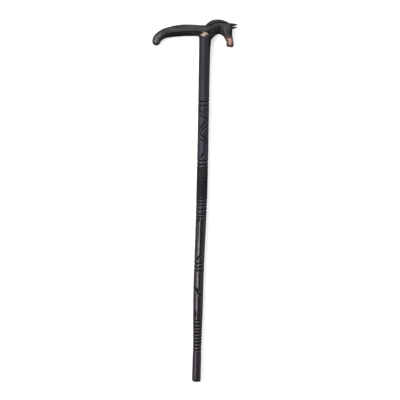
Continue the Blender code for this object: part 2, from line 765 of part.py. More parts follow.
def main():
    clear_scene()
    parts = new_collection("walking_cane")
    cutters = new_collection("cutters")
    ebony = wood("ebony", EBONY, 0.42)
    beech = wood("beech", BEECH, 0.60)
    make_shaft(parts, cutters, ebony)
    make_handle(parts, cutters, ebony)
    make_dowel(parts, beech)


main()
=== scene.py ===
# Carved walking cane: the looks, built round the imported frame.
# Metres, +Z up the stick, +X towards the horse's head, the photograph looks along +Y.
import math

import bmesh
import bpy
import numpy as np
from mathutils import Matrix, Vector, kdtree, noise


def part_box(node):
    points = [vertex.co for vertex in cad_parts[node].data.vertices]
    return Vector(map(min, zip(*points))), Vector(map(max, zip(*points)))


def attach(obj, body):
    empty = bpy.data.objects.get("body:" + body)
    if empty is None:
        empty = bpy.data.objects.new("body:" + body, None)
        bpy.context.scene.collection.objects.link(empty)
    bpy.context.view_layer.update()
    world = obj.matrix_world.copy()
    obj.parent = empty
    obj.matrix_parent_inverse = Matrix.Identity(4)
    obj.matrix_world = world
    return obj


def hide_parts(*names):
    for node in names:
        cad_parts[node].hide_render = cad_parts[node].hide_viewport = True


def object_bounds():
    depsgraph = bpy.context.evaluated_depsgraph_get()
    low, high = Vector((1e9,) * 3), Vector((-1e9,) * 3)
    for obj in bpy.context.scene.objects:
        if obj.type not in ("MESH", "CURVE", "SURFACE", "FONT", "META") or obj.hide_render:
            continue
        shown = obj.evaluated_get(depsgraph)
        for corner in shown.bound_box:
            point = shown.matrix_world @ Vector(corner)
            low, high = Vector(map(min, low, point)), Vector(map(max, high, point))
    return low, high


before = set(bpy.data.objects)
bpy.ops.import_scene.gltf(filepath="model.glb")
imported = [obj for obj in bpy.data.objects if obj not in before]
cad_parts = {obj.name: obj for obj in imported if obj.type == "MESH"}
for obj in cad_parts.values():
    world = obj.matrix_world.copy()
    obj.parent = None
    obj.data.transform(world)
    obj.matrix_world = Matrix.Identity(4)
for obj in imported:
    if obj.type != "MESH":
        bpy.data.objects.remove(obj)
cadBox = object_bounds()
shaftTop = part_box("shaft")[1].z


# Small helpers for meshes and node trees

def smoothValue(table, at, column=1):
    # a smooth curve through the rows of a table, read at a value of its first column
    last = len(table) - 1
    at = min(max(at, table[0][0]), table[last][0])
    row = 0
    while row < last - 1 and at > table[row + 1][0]:
        row += 1

    def slope(i):
        before, after = max(i - 1, 0), min(i + 1, last)
        return (table[after][column] - table[before][column]) / (table[after][0] - table[before][0])

    start, end = table[row], table[row + 1]
    span = end[0] - start[0]
    t = (at - start[0]) / span
    rise = t * t * (3 - 2 * t)
    leave = t * (1 - t) ** 2 * span * slope(row)
    arrive = -t * t * (1 - t) * span * slope(row + 1)
    return start[column] + (end[column] - start[column]) * rise + leave + arrive


class Signal:
    # what a node puts out, with plain arithmetic: each step adds one more math node to its tree
    def __init__(self, socket):
        self.socket = socket

    def __add__(self, other):
        return calc("ADD", self, other)

    def __sub__(self, other):
        return calc("SUBTRACT", self, other)

    def __rsub__(self, other):
        return calc("SUBTRACT", other, self)

    def __mul__(self, other):
        return calc("MULTIPLY", self, other)

    def __truediv__(self, other):
        return calc("DIVIDE", self, other)

    def __pow__(self, other):
        return calc("POWER", self, other)

    def __neg__(self):
        return calc("MULTIPLY", self, -1.0)


def treeOf(values):
    return next(value.socket.id_data for value in values if isinstance(value, Signal))


def plug(socket, value):
    if isinstance(value, Signal):
        socket.id_data.links.new(value.socket, socket)
    elif value is not None:
        socket.default_value = value


def addNode(tree, kind, sockets=None, **settings):
    made = tree.nodes.new(kind)
    for name, value in settings.items():
        setattr(made, name, value)
    for key, value in (sockets or {}).items():
        plug(made.inputs[key], value)
    return made


def fromNode(tree, kind, sockets=None, output=0, **settings):
    return Signal(addNode(tree, kind, sockets, **settings).outputs[output])


def signalsOf(made):
    return {socket.name: Signal(socket) for socket in made.outputs}


def calc(operation, *values):
    # a Vector Math node where the first value is a vector, a Math node otherwise
    first = values[0]
    isVector = isinstance(first, Signal) and first.socket.type == "VECTOR"
    kind = "ShaderNodeVectorMath" if isVector else "ShaderNodeMath"
    output = "Value" if operation in ("DOT_PRODUCT", "LENGTH") else 0
    return fromNode(treeOf(values), kind, dict(enumerate(values)), output, operation=operation)


def clamped(value):
    # the value kept between 0 and 1 by the node that made it
    value.socket.node.use_clamp = True
    return value


def highest(*values):
    top = values[0]
    for value in values[1:]:
        top = calc("MAXIMUM", top, value)
    return top


def rescale(value, low, high, newLow=0.0, newHigh=1.0, smooth=False):
    sockets = dict(enumerate((value, low, high, newLow, newHigh)))
    return fromNode(treeOf([value]), "ShaderNodeMapRange", sockets,
                    interpolation_type="SMOOTHSTEP" if smooth else "LINEAR")


def bandMask(value, low, full, still, high):
    return rescale(value, low, full, smooth=True) * rescale(value, still, high, 1.0, 0.0, smooth=True)


def newGroup(name, kind, inputs, outputs):
    # sockets by name, each with its default value or, where it has none, with its kind
    tree = bpy.data.node_groups.new(name, kind)
    kinds = {int: "Int", float: "Float", tuple: "Vector"}
    for way, sockets in (("INPUT", inputs), ("OUTPUT", outputs)):
        for label, value in sockets.items():
            plain = isinstance(value, str)
            socketType = "NodeSocket" + (value if plain else kinds[type(value)])
            socket = tree.interface.new_socket(label, in_out=way, socket_type=socketType)
            if not plain:
                socket.default_value = value
    entry = signalsOf(tree.nodes.new("NodeGroupInput"))
    return tree, entry, tree.nodes.new("NodeGroupOutput").inputs


def useGroup(group, sockets):
    kind = "GeometryNodeGroup" if group.bl_idname == "GeometryNodeTree" else "ShaderNodeGroup"
    return signalsOf(addNode(treeOf(sockets.values()), kind, sockets, node_tree=group))


def newObject(name, mesh):
    item = bpy.data.objects.new(name, mesh)
    bpy.context.scene.collection.objects.link(item)
    return item


# Camera, floor, backdrop and lights

studio = {
    "frameSize": 400,                # of the photograph, in pixels
    "pixel": 0.00252,                # size of one of them at the cane
    "footPixel": (196.20, 381.8),    # where the middle of the foot stands in the photograph
    "lean": math.radians(1.549),     # the cane leans to the right in the picture
    "lens": 180.0,
    "sensor": 36.0,
    "backdropGap": 0.0012,           # between the back of the cane and the backdrop
    "floorSize": 4.0,
    "floorPaint": (0.95, 0.60),      # shade of the paint and its own white
    "backdropPaint": (0.95, 0.60),
    "roomLevel": 0.12,
    "fromBelow": (-0.55, 0.05, 0.30, 1.0),   # where the room's light is dimmest and full, and the two shares
    "glossShare": 0.14,              # of the white background behind the cane that its gloss shows
    "glossStart": (0.0, 0.4),        # where that background starts behind the cane and is full
    # soft light of the room: direction, where it starts and is full, level
    "domes": (((0.12, -0.70, 0.71), 0.80, 0.92, 1.30),
              ((-0.94, -0.34, 0.0), 0.70, 0.92, 0.58),
              ((0.97, -0.24, 0.05), 0.72, 0.92, 0.45),
              ((-0.05, -0.05, 1.0), 0.75, 0.95, 0.35),
              ((-0.10, 0.85, 0.50), 0.55, 0.90, 0.25)),
    # name, place, aim, width, height, radiance
    "lamps": (("keyWindow", (-0.78, -1.40, 0.66), (0.0, 0.0, 0.66), 0.68, 1.7, 4.7),),
}


def makeCamera():
    frameSize, pixel, lean = studio["frameSize"], studio["pixel"], studio["lean"]
    width = pixel * frameSize
    right = Vector((math.cos(lean), 0.0, math.sin(lean)))
    up = Vector((-math.sin(lean), 0.0, math.cos(lean)))
    across = (frameSize / 2 - studio["footPixel"][0]) * pixel
    above = (studio["footPixel"][1] - frameSize / 2) * pixel
    data = bpy.data.cameras.new("camera")
    data.lens = studio["lens"]
    data.sensor_width = studio["sensor"]
    distance = width / studio["sensor"] * studio["lens"]
    camera = newObject("camera", data)
    turn = Matrix((right, up, Vector((0.0, -1.0, 0.0)))).transposed()
    place = right * across + up * above + Vector((0.0, -distance, 0.0))
    camera.matrix_world = Matrix.Translation(place) @ turn.to_4x4()
    data.clip_start = 0.1
    data.clip_end = 40.0
    bpy.context.scene.camera = camera


def areaLight(name, place, aim, width, height, radiance):
    data = bpy.data.lights.new(name, "AREA")
    data.shape = "RECTANGLE"
    data.size = width
    data.size_y = height
    data.energy = radiance * math.pi * width * height
    lamp = newObject(name, data)
    lamp.location = place
    lamp.rotation_mode = "QUATERNION"
    lamp.rotation_quaternion = (Vector(place) - Vector(aim)).to_track_quat("Z", "Y")


def stagePlane(name, corners, material):
    shape = bmesh.new()
    shape.faces.new([shape.verts.new(corner) for corner in corners])
    mesh = bpy.data.meshes.new(name)
    shape.to_mesh(mesh)
    shape.free()
    mesh.materials.append(material)
    plane = newObject(name, mesh)
    return plane


def seenRays(tree):
    # the rays that see the white background straight or through something, and those that mirror it
    path = signalsOf(addNode(tree, "ShaderNodeLightPath"))
    return highest(path["Is Camera Ray"], path["Is Transmission Ray"]), path["Is Glossy Ray"]


def stageMaterial(name, shade, glow):
    # a pale paint that keeps the cane's shadow; its back lets the camera look through
    material = bpy.data.materials.new(name)
    material.use_nodes = True
    tree = material.node_tree
    tree.nodes.clear()
    seen, _ = seenRays(tree)
    paint = fromNode(tree, "ShaderNodeBsdfDiffuse", {"Color": (shade, shade, shade, 1.0)})
    lit = fromNode(tree, "ShaderNodeEmission", {"Color": (1.0, 1.0, 1.0, 1.0), "Strength": glow})
    none = fromNode(tree, "ShaderNodeEmission", {"Strength": 0.0})
    light = fromNode(tree, "ShaderNodeMixShader", {0: seen, 1: none, 2: lit})
    both = fromNode(tree, "ShaderNodeAddShader", {0: paint, 1: light})
    clear = fromNode(tree, "ShaderNodeBsdfTransparent")
    back = fromNode(tree, "ShaderNodeNewGeometry", output="Backfacing")
    mix = fromNode(tree, "ShaderNodeMixShader", {0: back, 1: both, 2: clear})
    addNode(tree, "ShaderNodeOutputMaterial", {"Surface": mix})
    return material


def dome(way, towards, low, high, level):
    # how much light the room sends from the directions round one direction
    aim = Vector(towards).normalized()
    along = calc("DOT_PRODUCT", way, aim)
    return rescale(along, low, high, smooth=True) * level


def makeStudio():
    half = studio["floorSize"] / 2
    behind = cadBox[1].y + studio["backdropGap"]
    floor = [(x, y, 0.0) for x, y in ((-half, -half), (half, -half), (half, half), (-half, half))]
    wall = [(x, behind, z) for x, z in ((-half, 0.0), (half, 0.0), (half, half), (-half, half))]
    for name, corners in (("floor", floor), ("backdrop", wall)):
        plane = stagePlane(name, corners, stageMaterial(name + "Paint", *studio[name + "Paint"]))
        plane.visible_glossy = False
        plane.visible_diffuse = False
        plane.visible_shadow = False

    world = bpy.data.worlds.new("studio")
    bpy.context.scene.world = world
    world.use_nodes = True
    tree = world.node_tree
    tree.nodes.clear()
    way = fromNode(tree, "ShaderNodeTexCoord", output="Generated")
    soft = studio["roomLevel"]
    for towards, low, high, level in studio["domes"]:
        soft = dome(way, towards, low, high, level) + soft
    axes = signalsOf(addNode(tree, "ShaderNodeSeparateXYZ", {0: way}))
    soft = soft * rescale(axes["Z"], *studio["fromBelow"], smooth=True)
    plain = fromNode(tree, "ShaderNodeBackground", {"Color": (1.0, 1.0, 1.0, 1.0), "Strength": soft})
    white = fromNode(tree, "ShaderNodeBackground", {"Color": (1.0, 1.0, 1.0, 1.0), "Strength": 1.0})
    seen, mirrored = seenRays(tree)
    # gloss shows the background too, behind the cane and as dim as the dark rims of the photograph
    gloss = mirrored * studio["glossShare"] * rescale(axes["Y"], *studio["glossStart"], smooth=True)
    mix = fromNode(tree, "ShaderNodeMixShader", {0: highest(seen, gloss), 1: plain, 2: white})
    addNode(tree, "ShaderNodeOutputWorld", {"Surface": mix})
    for lamp in studio["lamps"]:
        areaLight(*lamp)
    bpy.context.scene.view_settings.view_transform = "Standard"


makeCamera()
makeStudio()
print("studio ready")


# Surface effects that the woods share, each a node group built once

surface = {
    "waverSize": 0.03,               # over which the grain wanders
    "poreCell": 1.1,                 # pores to a fibre's width
    "poreEdge": (0.10, 0.30),        # of a pore, as shares of its cell
    "porePatch": (0.42, 0.58),       # pores come in patches that start and are full at these
    "figureSizes": (4.0, 7.0),       # patches of pores and of tone, in fibres' widths
    "speckSize": 0.0011,             # of the specks that make what is rubbed through ragged
    "raggedness": 0.7,               # how far they and the patches move its edge
    "cutShelter": 0.85,              # how much of the rubbing a cut keeps off
    "rubbedThrough": (0.30, 0.85),   # how crisp an edge is where that starts and is full
    "polished": (0.32, 0.66),        # where the patches that hands polish start and are full
    "scratches": (((0.3, 0.5, 0.2), 0.0009), ((1.1, -0.4, 0.9), 0.0013)),    # turn and spacing
    "scratchStretch": (1.0, 1.0, 0.06),      # long one way
    "scratchHalf": 0.018,            # half width of a scratch, as a share of the noise
    "scratchPatch": (0.009, 0.50, 0.62),     # size of the patches, where they start and are full
    "dustPatch": (0.0016, 0.42, 0.66),
    "dustDepth": (0.45, 1.0),        # how deep in a cut dust starts and is full
    "raggedSizes": (0.0045, 0.0014), # of the rim of a bare patch
    "bareEdge": (0.80, 1.06),        # where bare wood ends and stain is full, as shares of its oval
    "rimStart": 0.95,                # where its brown rim starts to fade
    "finest": 0.00003,               # height that a bump of strength 1 stands for
}


def asColour(value):
    return (*value, 1.0) if isinstance(value, tuple) else value


def blendColour(share, first, second):
    colours = {6: asColour(first), 7: asColour(second)}
    return fromNode(treeOf([share]), "ShaderNodeMix", {0: share, **colours}, output=2, data_type="RGBA")


def layered(colour, layers):
    # colours laid over one another, each as far as its mask goes
    for share, laid in layers:
        colour = blendColour(share, colour, laid)
    return colour


def dimmed(colour, share):
    return fromNode(treeOf([share]), "ShaderNodeVectorMath", {0: colour, "Scale": share}, operation="SCALE")


def noiseAt(vector, size, detail=2.0, roughness=0.5):
    # a soft random value from 0 to 1 whose patches are about this size
    size = Vector((size, size, size)) if isinstance(size, float) else size
    return fromNode(treeOf([vector]), "ShaderNodeTexNoise",
                    {"Vector": vector / size, "Scale": 1.0, "Detail": detail, "Roughness": roughness})


def grainGroup():
    # the wood's own figure: fine fibres, open pores and slow changes of tone, drawn out along the grain
    tree, entry, leave = newGroup(
        "Wood Grain", "ShaderNodeTree",
        {"Vector": "Vector", "Stretch": (1.0, 1.0, 0.05), "Fibre Size": 0.0008, "Waver": 0.001, "Seed": 0.0},
        {"Fibre": "Float", "Pore": "Float", "Tone": "Float"})
    bend = (noiseAt(entry["Vector"], surface["waverSize"]) - 0.5) * entry["Waver"]
    drawn = (entry["Vector"] + bend) * entry["Stretch"] + entry["Seed"]
    plug(leave["Fibre"], noiseAt(drawn, entry["Fibre Size"], 3.0, 0.6))
    cells = fromNode(tree, "ShaderNodeTexVoronoi",
                     {"Vector": drawn / entry["Fibre Size"], "Scale": surface["poreCell"]},
                     output="Distance")
    patch, slow = surface["figureSizes"]
    rare = rescale(noiseAt(drawn, entry["Fibre Size"] * patch), *surface["porePatch"])
    pore = rescale(cells, *surface["poreEdge"], 1.0, 0.0, smooth=True)
    plug(leave["Pore"], pore * rare)
    plug(leave["Tone"], noiseAt(drawn, entry["Fibre Size"] * slow))
    return tree


def rubGroup():
    # what hands and years do: crisp edges worn through, high places polished, fine scratches
    tree, entry, leave = newGroup(
        "Hand Rub", "ShaderNodeTree",
        {"Vector": "Vector", "Edge": 0.0, "Cut": 0.0, "Patch Size": 0.012, "Edge Wear": 0.5,
         "Scratch Share": 0.5},
        {"Worn": "Float", "Polish": "Float", "Scratch": "Float"})
    patch = noiseAt(entry["Vector"], entry["Patch Size"], 3.0)
    speck = noiseAt(entry["Vector"], surface["speckSize"])
    ragged = (patch - 0.5) + (speck - 0.5)
    worn = rescale(ragged * surface["raggedness"] + entry["Edge"], *surface["rubbedThrough"], smooth=True)
    plug(leave["Worn"], worn * entry["Edge Wear"])
    high = clamped(1.0 - entry["Cut"] * surface["cutShelter"])
    plug(leave["Polish"], rescale(patch, *surface["polished"], smooth=True) * high)
    lines = []
    for turn, size in surface["scratches"]:
        laid = fromNode(tree, "ShaderNodeMapping",
                        {"Vector": entry["Vector"], "Rotation": turn, "Scale": surface["scratchStretch"]})
        off = calc("ABSOLUTE", noiseAt(laid, size, 1.0) - 0.5)
        lines.append(rescale(off, 0.0, surface["scratchHalf"], 1.0, 0.0))
    size, *ends = surface["scratchPatch"]
    some = rescale(noiseAt(entry["Vector"], size, 1.0), *ends)
    plug(leave["Scratch"], highest(*lines) * some * entry["Scratch Share"] * high)
    return tree


def dustGroup():
    # pale dust that lies in the bottom of the cuts
    tree, entry, leave = newGroup(
        "Settled Dust", "ShaderNodeTree", {"Vector": "Vector", "Cut": 0.0, "Amount": 0.3}, {"Dust": "Float"})
    size, *ends = surface["dustPatch"]
    broken = rescale(noiseAt(entry["Vector"], size, 3.0), *ends)
    low = rescale(entry["Cut"], *surface["dustDepth"], smooth=True)
    plug(leave["Dust"], broken * low * entry["Amount"])
    return tree


def patchGroup():
    # a patch where the stain is off: bare wood in an oval of the side view, and the brown rim round it
    tree, entry, leave = newGroup(
        "Bare Patch", "ShaderNodeTree",
        {"Vector": "Vector", "Middle": "Vector", "Reach": (0.005, 1.0, 0.003), "Turn": 0.0, "Ragged": 0.5,
         "Rim": 1.5},
        {"Bare": "Float", "Rim": "Float"})
    turn = fromNode(tree, "ShaderNodeCombineXYZ", {1: entry["Turn"]})
    laid = fromNode(tree, "ShaderNodeMapping", {"Vector": entry["Vector"], "Location": entry["Middle"],
                                                "Rotation": turn, "Scale": entry["Reach"]},
                    vector_type="TEXTURE")
    flat = laid * Vector((1.0, 0.0, 1.0))
    coarse, fine = surface["raggedSizes"]
    rough = noiseAt(entry["Vector"], coarse, 3.0) + noiseAt(entry["Vector"], fine)
    away = (rough - 1.0) * entry["Ragged"] + calc("LENGTH", flat)
    plug(leave["Bare"], rescale(away, *surface["bareEdge"], 1.0, 0.0, smooth=True))
    plug(leave["Rim"], rescale(away, surface["rimStart"], entry["Rim"], 1.0, 0.0, smooth=True))
    return tree


grain, rub, dust, barePatch = grainGroup(), rubGroup(), dustGroup(), patchGroup()


def newWood(name, finish):
    # an empty wood: its material, tree and shader, and where it reads the piece
    material = bpy.data.materials.new(name)
    material.use_nodes = True
    tree = material.node_tree
    shader = tree.nodes["Principled BSDF"]
    plug(shader.inputs["Specular IOR Level"], finish["level"])
    plug(shader.inputs["Coat Roughness"], finish["coatRoughness"])
    return material, tree, shader, fromNode(tree, "ShaderNodeTexCoord", output="Object")


def markOf(tree, name):
    return fromNode(tree, "ShaderNodeAttribute", output="Fac", attribute_name=name)


def woodFigure(place, finish):
    return useGroup(grain, {"Vector": place, "Stretch": finish["stretch"], "Fibre Size": finish["fibreSize"],
                            "Seed": finish["grainSeed"]})


def figureShade(figure, finish):
    # how light the wood is for its slow tone and its fibres
    return rescale(figure["Tone"], *finish["toneShade"]) * rescale(figure["Fibre"], *finish["fibreShade"])


def wearAndDust(place, edge, cut, finish):
    rubbed = useGroup(rub, {"Vector": place, "Edge": edge, "Cut": cut, "Patch Size": finish["patchSize"],
                            "Edge Wear": finish["edgeWear"], "Scratch Share": finish["scratchShare"]})
    return rubbed, useGroup(dust, {"Vector": place, "Cut": cut, "Amount": finish["dustAmount"]})


def patchAt(place, x, z, long, high, turn, ragged, rim):
    return useGroup(barePatch, {"Vector": place, "Middle": Vector((x, 0.0, z)),
                                "Reach": Vector((long, 1.0, high)), "Turn": math.radians(turn),
                                "Ragged": ragged, "Rim": rim})


def raised(shader, values, heights):
    # small relief in metres, fed to the shader as one bump
    finest = surface["finest"]
    parts = [value * (height / finest) for value, height in zip(values, heights)]
    sockets = {"Height": sum(parts[1:], parts[0]), "Distance": finest, "Strength": 1.0}
    plug(shader.inputs["Normal"], fromNode(shader.id_data, "ShaderNodeBump", sockets))


print("surface groups ready")


# Stick: a swept tube whose rings, chevrons, lattice and leaf cuts follow a rule

stick = {
    "around": 96,
    "fineStep": 0.00056,             # spacing of the rings where something is carved
    "plainStep": 0.0036,             # elsewhere
    "fineMargin": 0.002,             # of a cut that has fine rings
    "fineEnds": (0.0075, 0.020),     # run over the foot and under the joint that has them
    "taper": ((0.0, 0.0219), (0.055, 0.0219), (0.088, 0.0214), (0.180, 0.0248), (0.330, 0.0258),
              (0.462, 0.0278), (0.760, 0.0278), (0.8679, 0.0290)),
    "bow": ((0.0, 0.0), (0.105, 0.0), (0.250, -0.0009), (0.345, 0.0001), (0.415, 0.0011),
            (0.545, 0.0012), (0.660, 0.0002), (0.770, -0.0009), (0.868, -0.0014)),
    "jointSwell": 0.00058,
    "swellRun": 0.031,
    "throatSwell": 0.0013,
    "throatRadius": 0.0085,
    "throatStart": 0.0008,
    "boreRadius": 0.0073,
    "boreDepth": 0.0408,
    "grooveWidth": 0.0048,
    "grooveDepth": 0.00105,
    "grooveProfile": 0.8,            # below 1 the V is hollow and wide at its bottom
    # how it wavers: its height's turns and size, then its width's turns, share of the seed and size
    "grooveWaver": (3.0, 0.00022, 2.0, 1.7, 0.05),
    "grooveSeedStep": 2.4,           # from one ring to the next
    "beadRise": 0.00022,
    "beadPlace": (1.5, 0.55),        # where it lies beside the groove and how wide, in half widths
    # ring grooves in bands: height, rise towards the horse's head, share of the full depth
    "bands": (((0.0794, 0.0, 1.0), (0.0881, 0.0, 0.8), (0.0962, 0.0, 0.8), (0.1045, -0.0002, 0.9),
               (0.1126, 0.0, 1.0), (0.1210, 0.0, 1.0), (0.1290, -0.0004, 1.1), (0.1367, 0.0005, 1.1),
               (0.1450, 0.0006, 1.0), (0.1540, 0.0003, 0.9)),
              ((0.2792, -0.0022, 0.9), (0.2885, 0.0024, 0.9), (0.2977, 0.0003, 1.1)),
              ((0.4146, 0.0, 1.0), (0.4216, 0.0004, 0.9), (0.4337, 0.0, 1.2), (0.4436, -0.0006, 1.3),
               (0.4510, 0.0003, 1.0), (0.4588, 0.0008, 0.5)),
              ((0.5464, 0.0004, 1.1), (0.5566, 0.0, 1.2)),
              ((0.6951, 0.0012, 0.6), (0.7053, 0.0004, 1.2))),
    "lattice": {"low": 0.4625, "high": 0.5410, "turns": 13.0, "pitch": 0.0084, "width": 0.0024,
                "depth": 0.0008, "sway": 0.35, "ends": (0.004, 0.002),
                "faint": 0.55, "strong": (0.040, 0.014)},    # fainter below, in full from under its top
    "chiselOutline": (0.32, 0.02),   # how full the leaf is, and the least width of its tips
    "chevron": {"depth": 0.0018, "width": 0.0062},
    # cuts between two places, each an angle and a height, and the share of the full depth
    "chevrons": (((-66, 0.6860), (0, 0.6760), 0.45), ((-62, 0.6755), (58, 0.6565), 0.60),
                 ((40, 0.6565), (-52, 0.6340), 1.0), ((58, 0.6475), (-46, 0.6260), 1.0),
                 ((-50, 0.6275), (58, 0.6055), 1.1), ((-46, 0.6135), (46, 0.5990), 0.9)),
    "leaf": {"depth": 0.0020, "width": 0.0078},
    "leaves": (((22, 0.5765), (-28, 0.5630), 1.0), ((-16, 0.4125), (-50, 0.3970), 0.8),
               ((4, 0.3180), (-38, 0.3050), 0.9), ((-66, 0.2405), (16, 0.2275), 1.0),
               ((-62, 0.2345), (44, 0.2145), 1.1), ((-36, 0.1785), (-34, 0.1630), 0.7)),
    # a face planed along the stick: angle and half width in degrees, depth, then the heights where it
    # starts, is full, starts to fade and ends
    "planed": (-12, 15, 0.00029, 0.170, 0.200, 0.345, 0.362),
    "unevenness": 0.00022,           # of the hand scraped surface
    # its long swellings and its fine unevenness: stretch along the stick, scale, detail, share
    "skin": ((9.0, 1.6, 2.0, 3.0), (120.0, 1.3, 1.0, 0.6)),
    "skinRound": 1.6,                # how often it changes round the stick
    "jointShade": (0.0012, 0.7),     # the dark line under the joint: height and how deep it looks
    "crisp": 0.00010,                # how far a crisp edge stands out of the points round it
    "footChamfer": (0.0048, 0.0024), # height and width
    "footStrokes": 9,                # of the knife round it
    "wornEdge": (0.0046, 0.0052),    # the flat under the grip
    "sharpAngle": math.radians(50),  # past which an edge is shaded sharp
    "seed": 7.0,
}


def stickRadius(height):
    return smoothValue(stick["taper"], height) / 2


def stickBow(height):
    return smoothValue(stick["bow"], height)


def carvedZones():
    # heights between which the rings lie close together
    edge = stick["grooveWidth"]
    foot, joint = stick["fineEnds"]
    zones = [(0.0, foot), (shaftTop - joint, shaftTop)]
    for band in stick["bands"]:
        zones.append((band[0][0] - edge, band[-1][0] + edge))
    zones.append((stick["lattice"]["low"], stick["lattice"]["high"]))
    for (_, start), (_, end), _ in stick["chevrons"] + stick["leaves"]:
        zones.append((min(start, end) - stick["fineMargin"], max(start, end) + stick["fineMargin"]))
    merged = []
    for low, high in sorted(zones):
        if merged and low <= merged[-1][1] + stick["plainStep"]:
            merged[-1][1] = max(high, merged[-1][1])
        else:
            merged.append([max(low, 0.0), high])
    return merged


def ringHeights():
    heights = [0.0]
    for low, high in carvedZones():
        for stop, step in ((low, stick["plainStep"]), (min(high, shaftTop), stick["fineStep"])):
            run = stop - heights[-1]
            count = max(1, round(run / step)) if run > 1e-6 else 0
            start = heights[-1]
            heights += [start + run * (i + 1) / count for i in range(count)]
    return heights


def throatFlare(below):
    gentle = stick["throatSwell"] * max(0.0, 1 - below / stick["swellRun"])
    radius = stick["throatRadius"]
    reach = min(below + stick["throatStart"], radius)
    return gentle + radius - math.sqrt(radius ** 2 - (radius - reach) ** 2)


def stickPath():
    # the path that the tube is swept along, one point a ring, then back down inside the dowel's bore
    rings = []
    for height in ringHeights():
        below = shaftTop - height
        swell = stick["jointSwell"] * max(0.0, 1 - below / stick["swellRun"]) ** 2
        rings.append((height, stickRadius(height) + swell, throatFlare(below), stickBow(height), 1.0))
    bore, floor, middle = stick["boreRadius"], shaftTop - stick["boreDepth"], stickBow(shaftTop)
    for height in (shaftTop, shaftTop - 0.012, shaftTop - 0.026, floor):
        rings.append((height, bore, 0.0, middle, 0.0))
    mesh = bpy.data.meshes.new("stickPath")
    mesh.from_pydata([(0.0, 0.0, 0.001 * i) for i in range(len(rings))],
                     [(i, i + 1) for i in range(len(rings) - 1)], [])
    for column, name in enumerate(("ringHeight", "ringRadius", "ringFlare", "ringBow", "ringCarved")):
        layer = mesh.attributes.new(name, "FLOAT", "POINT")
        layer.data.foreach_set("value", [ring[column] for ring in rings])
    return newObject("stickPath", mesh), len(rings)


def ringGrooveGroup():
    # one ring groove round the stick, level or leaning, with its wavering width and the swell beside it
    tree, entry, leave = newGroup(
        "Ring Groove", "GeometryNodeTree",
        {"Height": "Float", "Angle": "Float", "Middle": 0.1, "Lean": 0.0, "Width": 0.0048, "Depth": 0.0012,
         "Bead": 0.0002, "Seed": 0.0},
        {"Offset": "Float", "Cut": "Float"})
    level = calc("SINE", entry["Angle"]) * entry["Lean"] + entry["Middle"]
    heightTurns, rise, widthTurns, seedShare, share = stick["grooveWaver"]
    level = calc("SINE", entry["Angle"] * heightTurns + entry["Seed"]) * rise + level
    waver = calc("SINE", entry["Angle"] * widthTurns + entry["Seed"] * seedShare)
    half = entry["Width"] * (waver * share + 0.5)
    away = calc("ABSOLUTE", entry["Height"] - level) / half
    cut = clamped(1.0 - away)
    middle, wide = stick["beadPlace"]
    beside = (away - middle) / wide
    crown = calc("EXPONENT", -(beside * beside))
    sunk = cut ** stick["grooveProfile"] * entry["Depth"]
    plug(leave["Offset"], crown * entry["Bead"] - sunk)
    plug(leave["Cut"], cut)
    return tree


def chiselCutGroup():
    # one V cut, leaf shaped in outline, between two (angle, height) places
    tree, entry, leave = newGroup(
        "Chisel Cut", "GeometryNodeTree",
        {"Height": "Float", "Angle": "Float", "Radius": "Float", "Start Angle": 0.0, "Start Height": 0.0,
         "End Angle": 0.0, "End Height": 0.0, "Width": 0.003, "Share": 1.0, "Depth": 0.001},
        {"Offset": "Float", "Cut": "Float"})
    midAngle = (entry["Start Angle"] + entry["End Angle"]) * 0.5
    midHeight = (entry["Start Height"] + entry["End Height"]) * 0.5
    halfAngle = (entry["End Angle"] - entry["Start Angle"]) * 0.5
    halfX = halfAngle * entry["Radius"]
    halfY = (entry["End Height"] - entry["Start Height"]) * 0.5
    turn = calc("WRAP", entry["Angle"] - midAngle, math.pi, -math.pi)
    x = turn * entry["Radius"]
    y = entry["Height"] - midHeight
    along = x * halfX + y * halfY
    size = halfX * halfX + halfY * halfY
    t = highest(calc("MINIMUM", along / size, 1.0), -1.0)
    offX = x - t * halfX
    offY = y - t * halfY
    away = calc("SQRT", offX * offX + offY * offY)
    fullness, tip = stick["chiselOutline"]
    full = clamped(1.0 - t * t) ** fullness
    half = entry["Width"] * 0.5 * highest(full, tip)
    cut = clamped(1.0 - away / half) * full * entry["Share"]
    plug(leave["Offset"], -(cut * entry["Depth"]))
    plug(leave["Cut"], cut)
    return tree


def latticeGroup():
    # two families of spiral grooves that cross in diamonds, strongest at the top of the band
    tree, entry, leave = newGroup(
        "Lattice", "GeometryNodeTree",
        {"Height": "Float", "Angle": "Float", "Noise": "Float", "Low": 0.46, "High": 0.54, "Turns": 13.0,
         "Pitch": 0.0084, "Width": 0.003, "Depth": 0.0008},
        {"Offset": "Float", "Cut": "Float"})
    around = entry["Angle"] * (entry["Turns"] / (2 * math.pi))
    lattice, height = stick["lattice"], entry["Height"]
    climb = entry["Noise"] * lattice["sway"] + (height - entry["Low"]) / entry["Pitch"]
    share = entry["Width"] / entry["Pitch"]
    cuts = []
    for spiral in (around + climb, around - climb):
        away = calc("ABSOLUTE", calc("FRACT", spiral) - 0.5)
        cuts.append(clamped(1.0 - away / share))
    deepest = highest(*cuts)
    (low, high), (start, full) = lattice["ends"], lattice["strong"]
    bottom = rescale(height, entry["Low"], entry["Low"] + low, smooth=True)
    top = rescale(height, entry["High"] - high, entry["High"], 1.0, 0.0, smooth=True)
    strong = rescale(height, entry["High"] - start, entry["High"] - full, lattice["faint"], 1.0, smooth=True)
    cut = deepest * (bottom * top * strong)
    plug(leave["Offset"], -(cut * entry["Depth"]))
    plug(leave["Cut"], cut)
    return tree


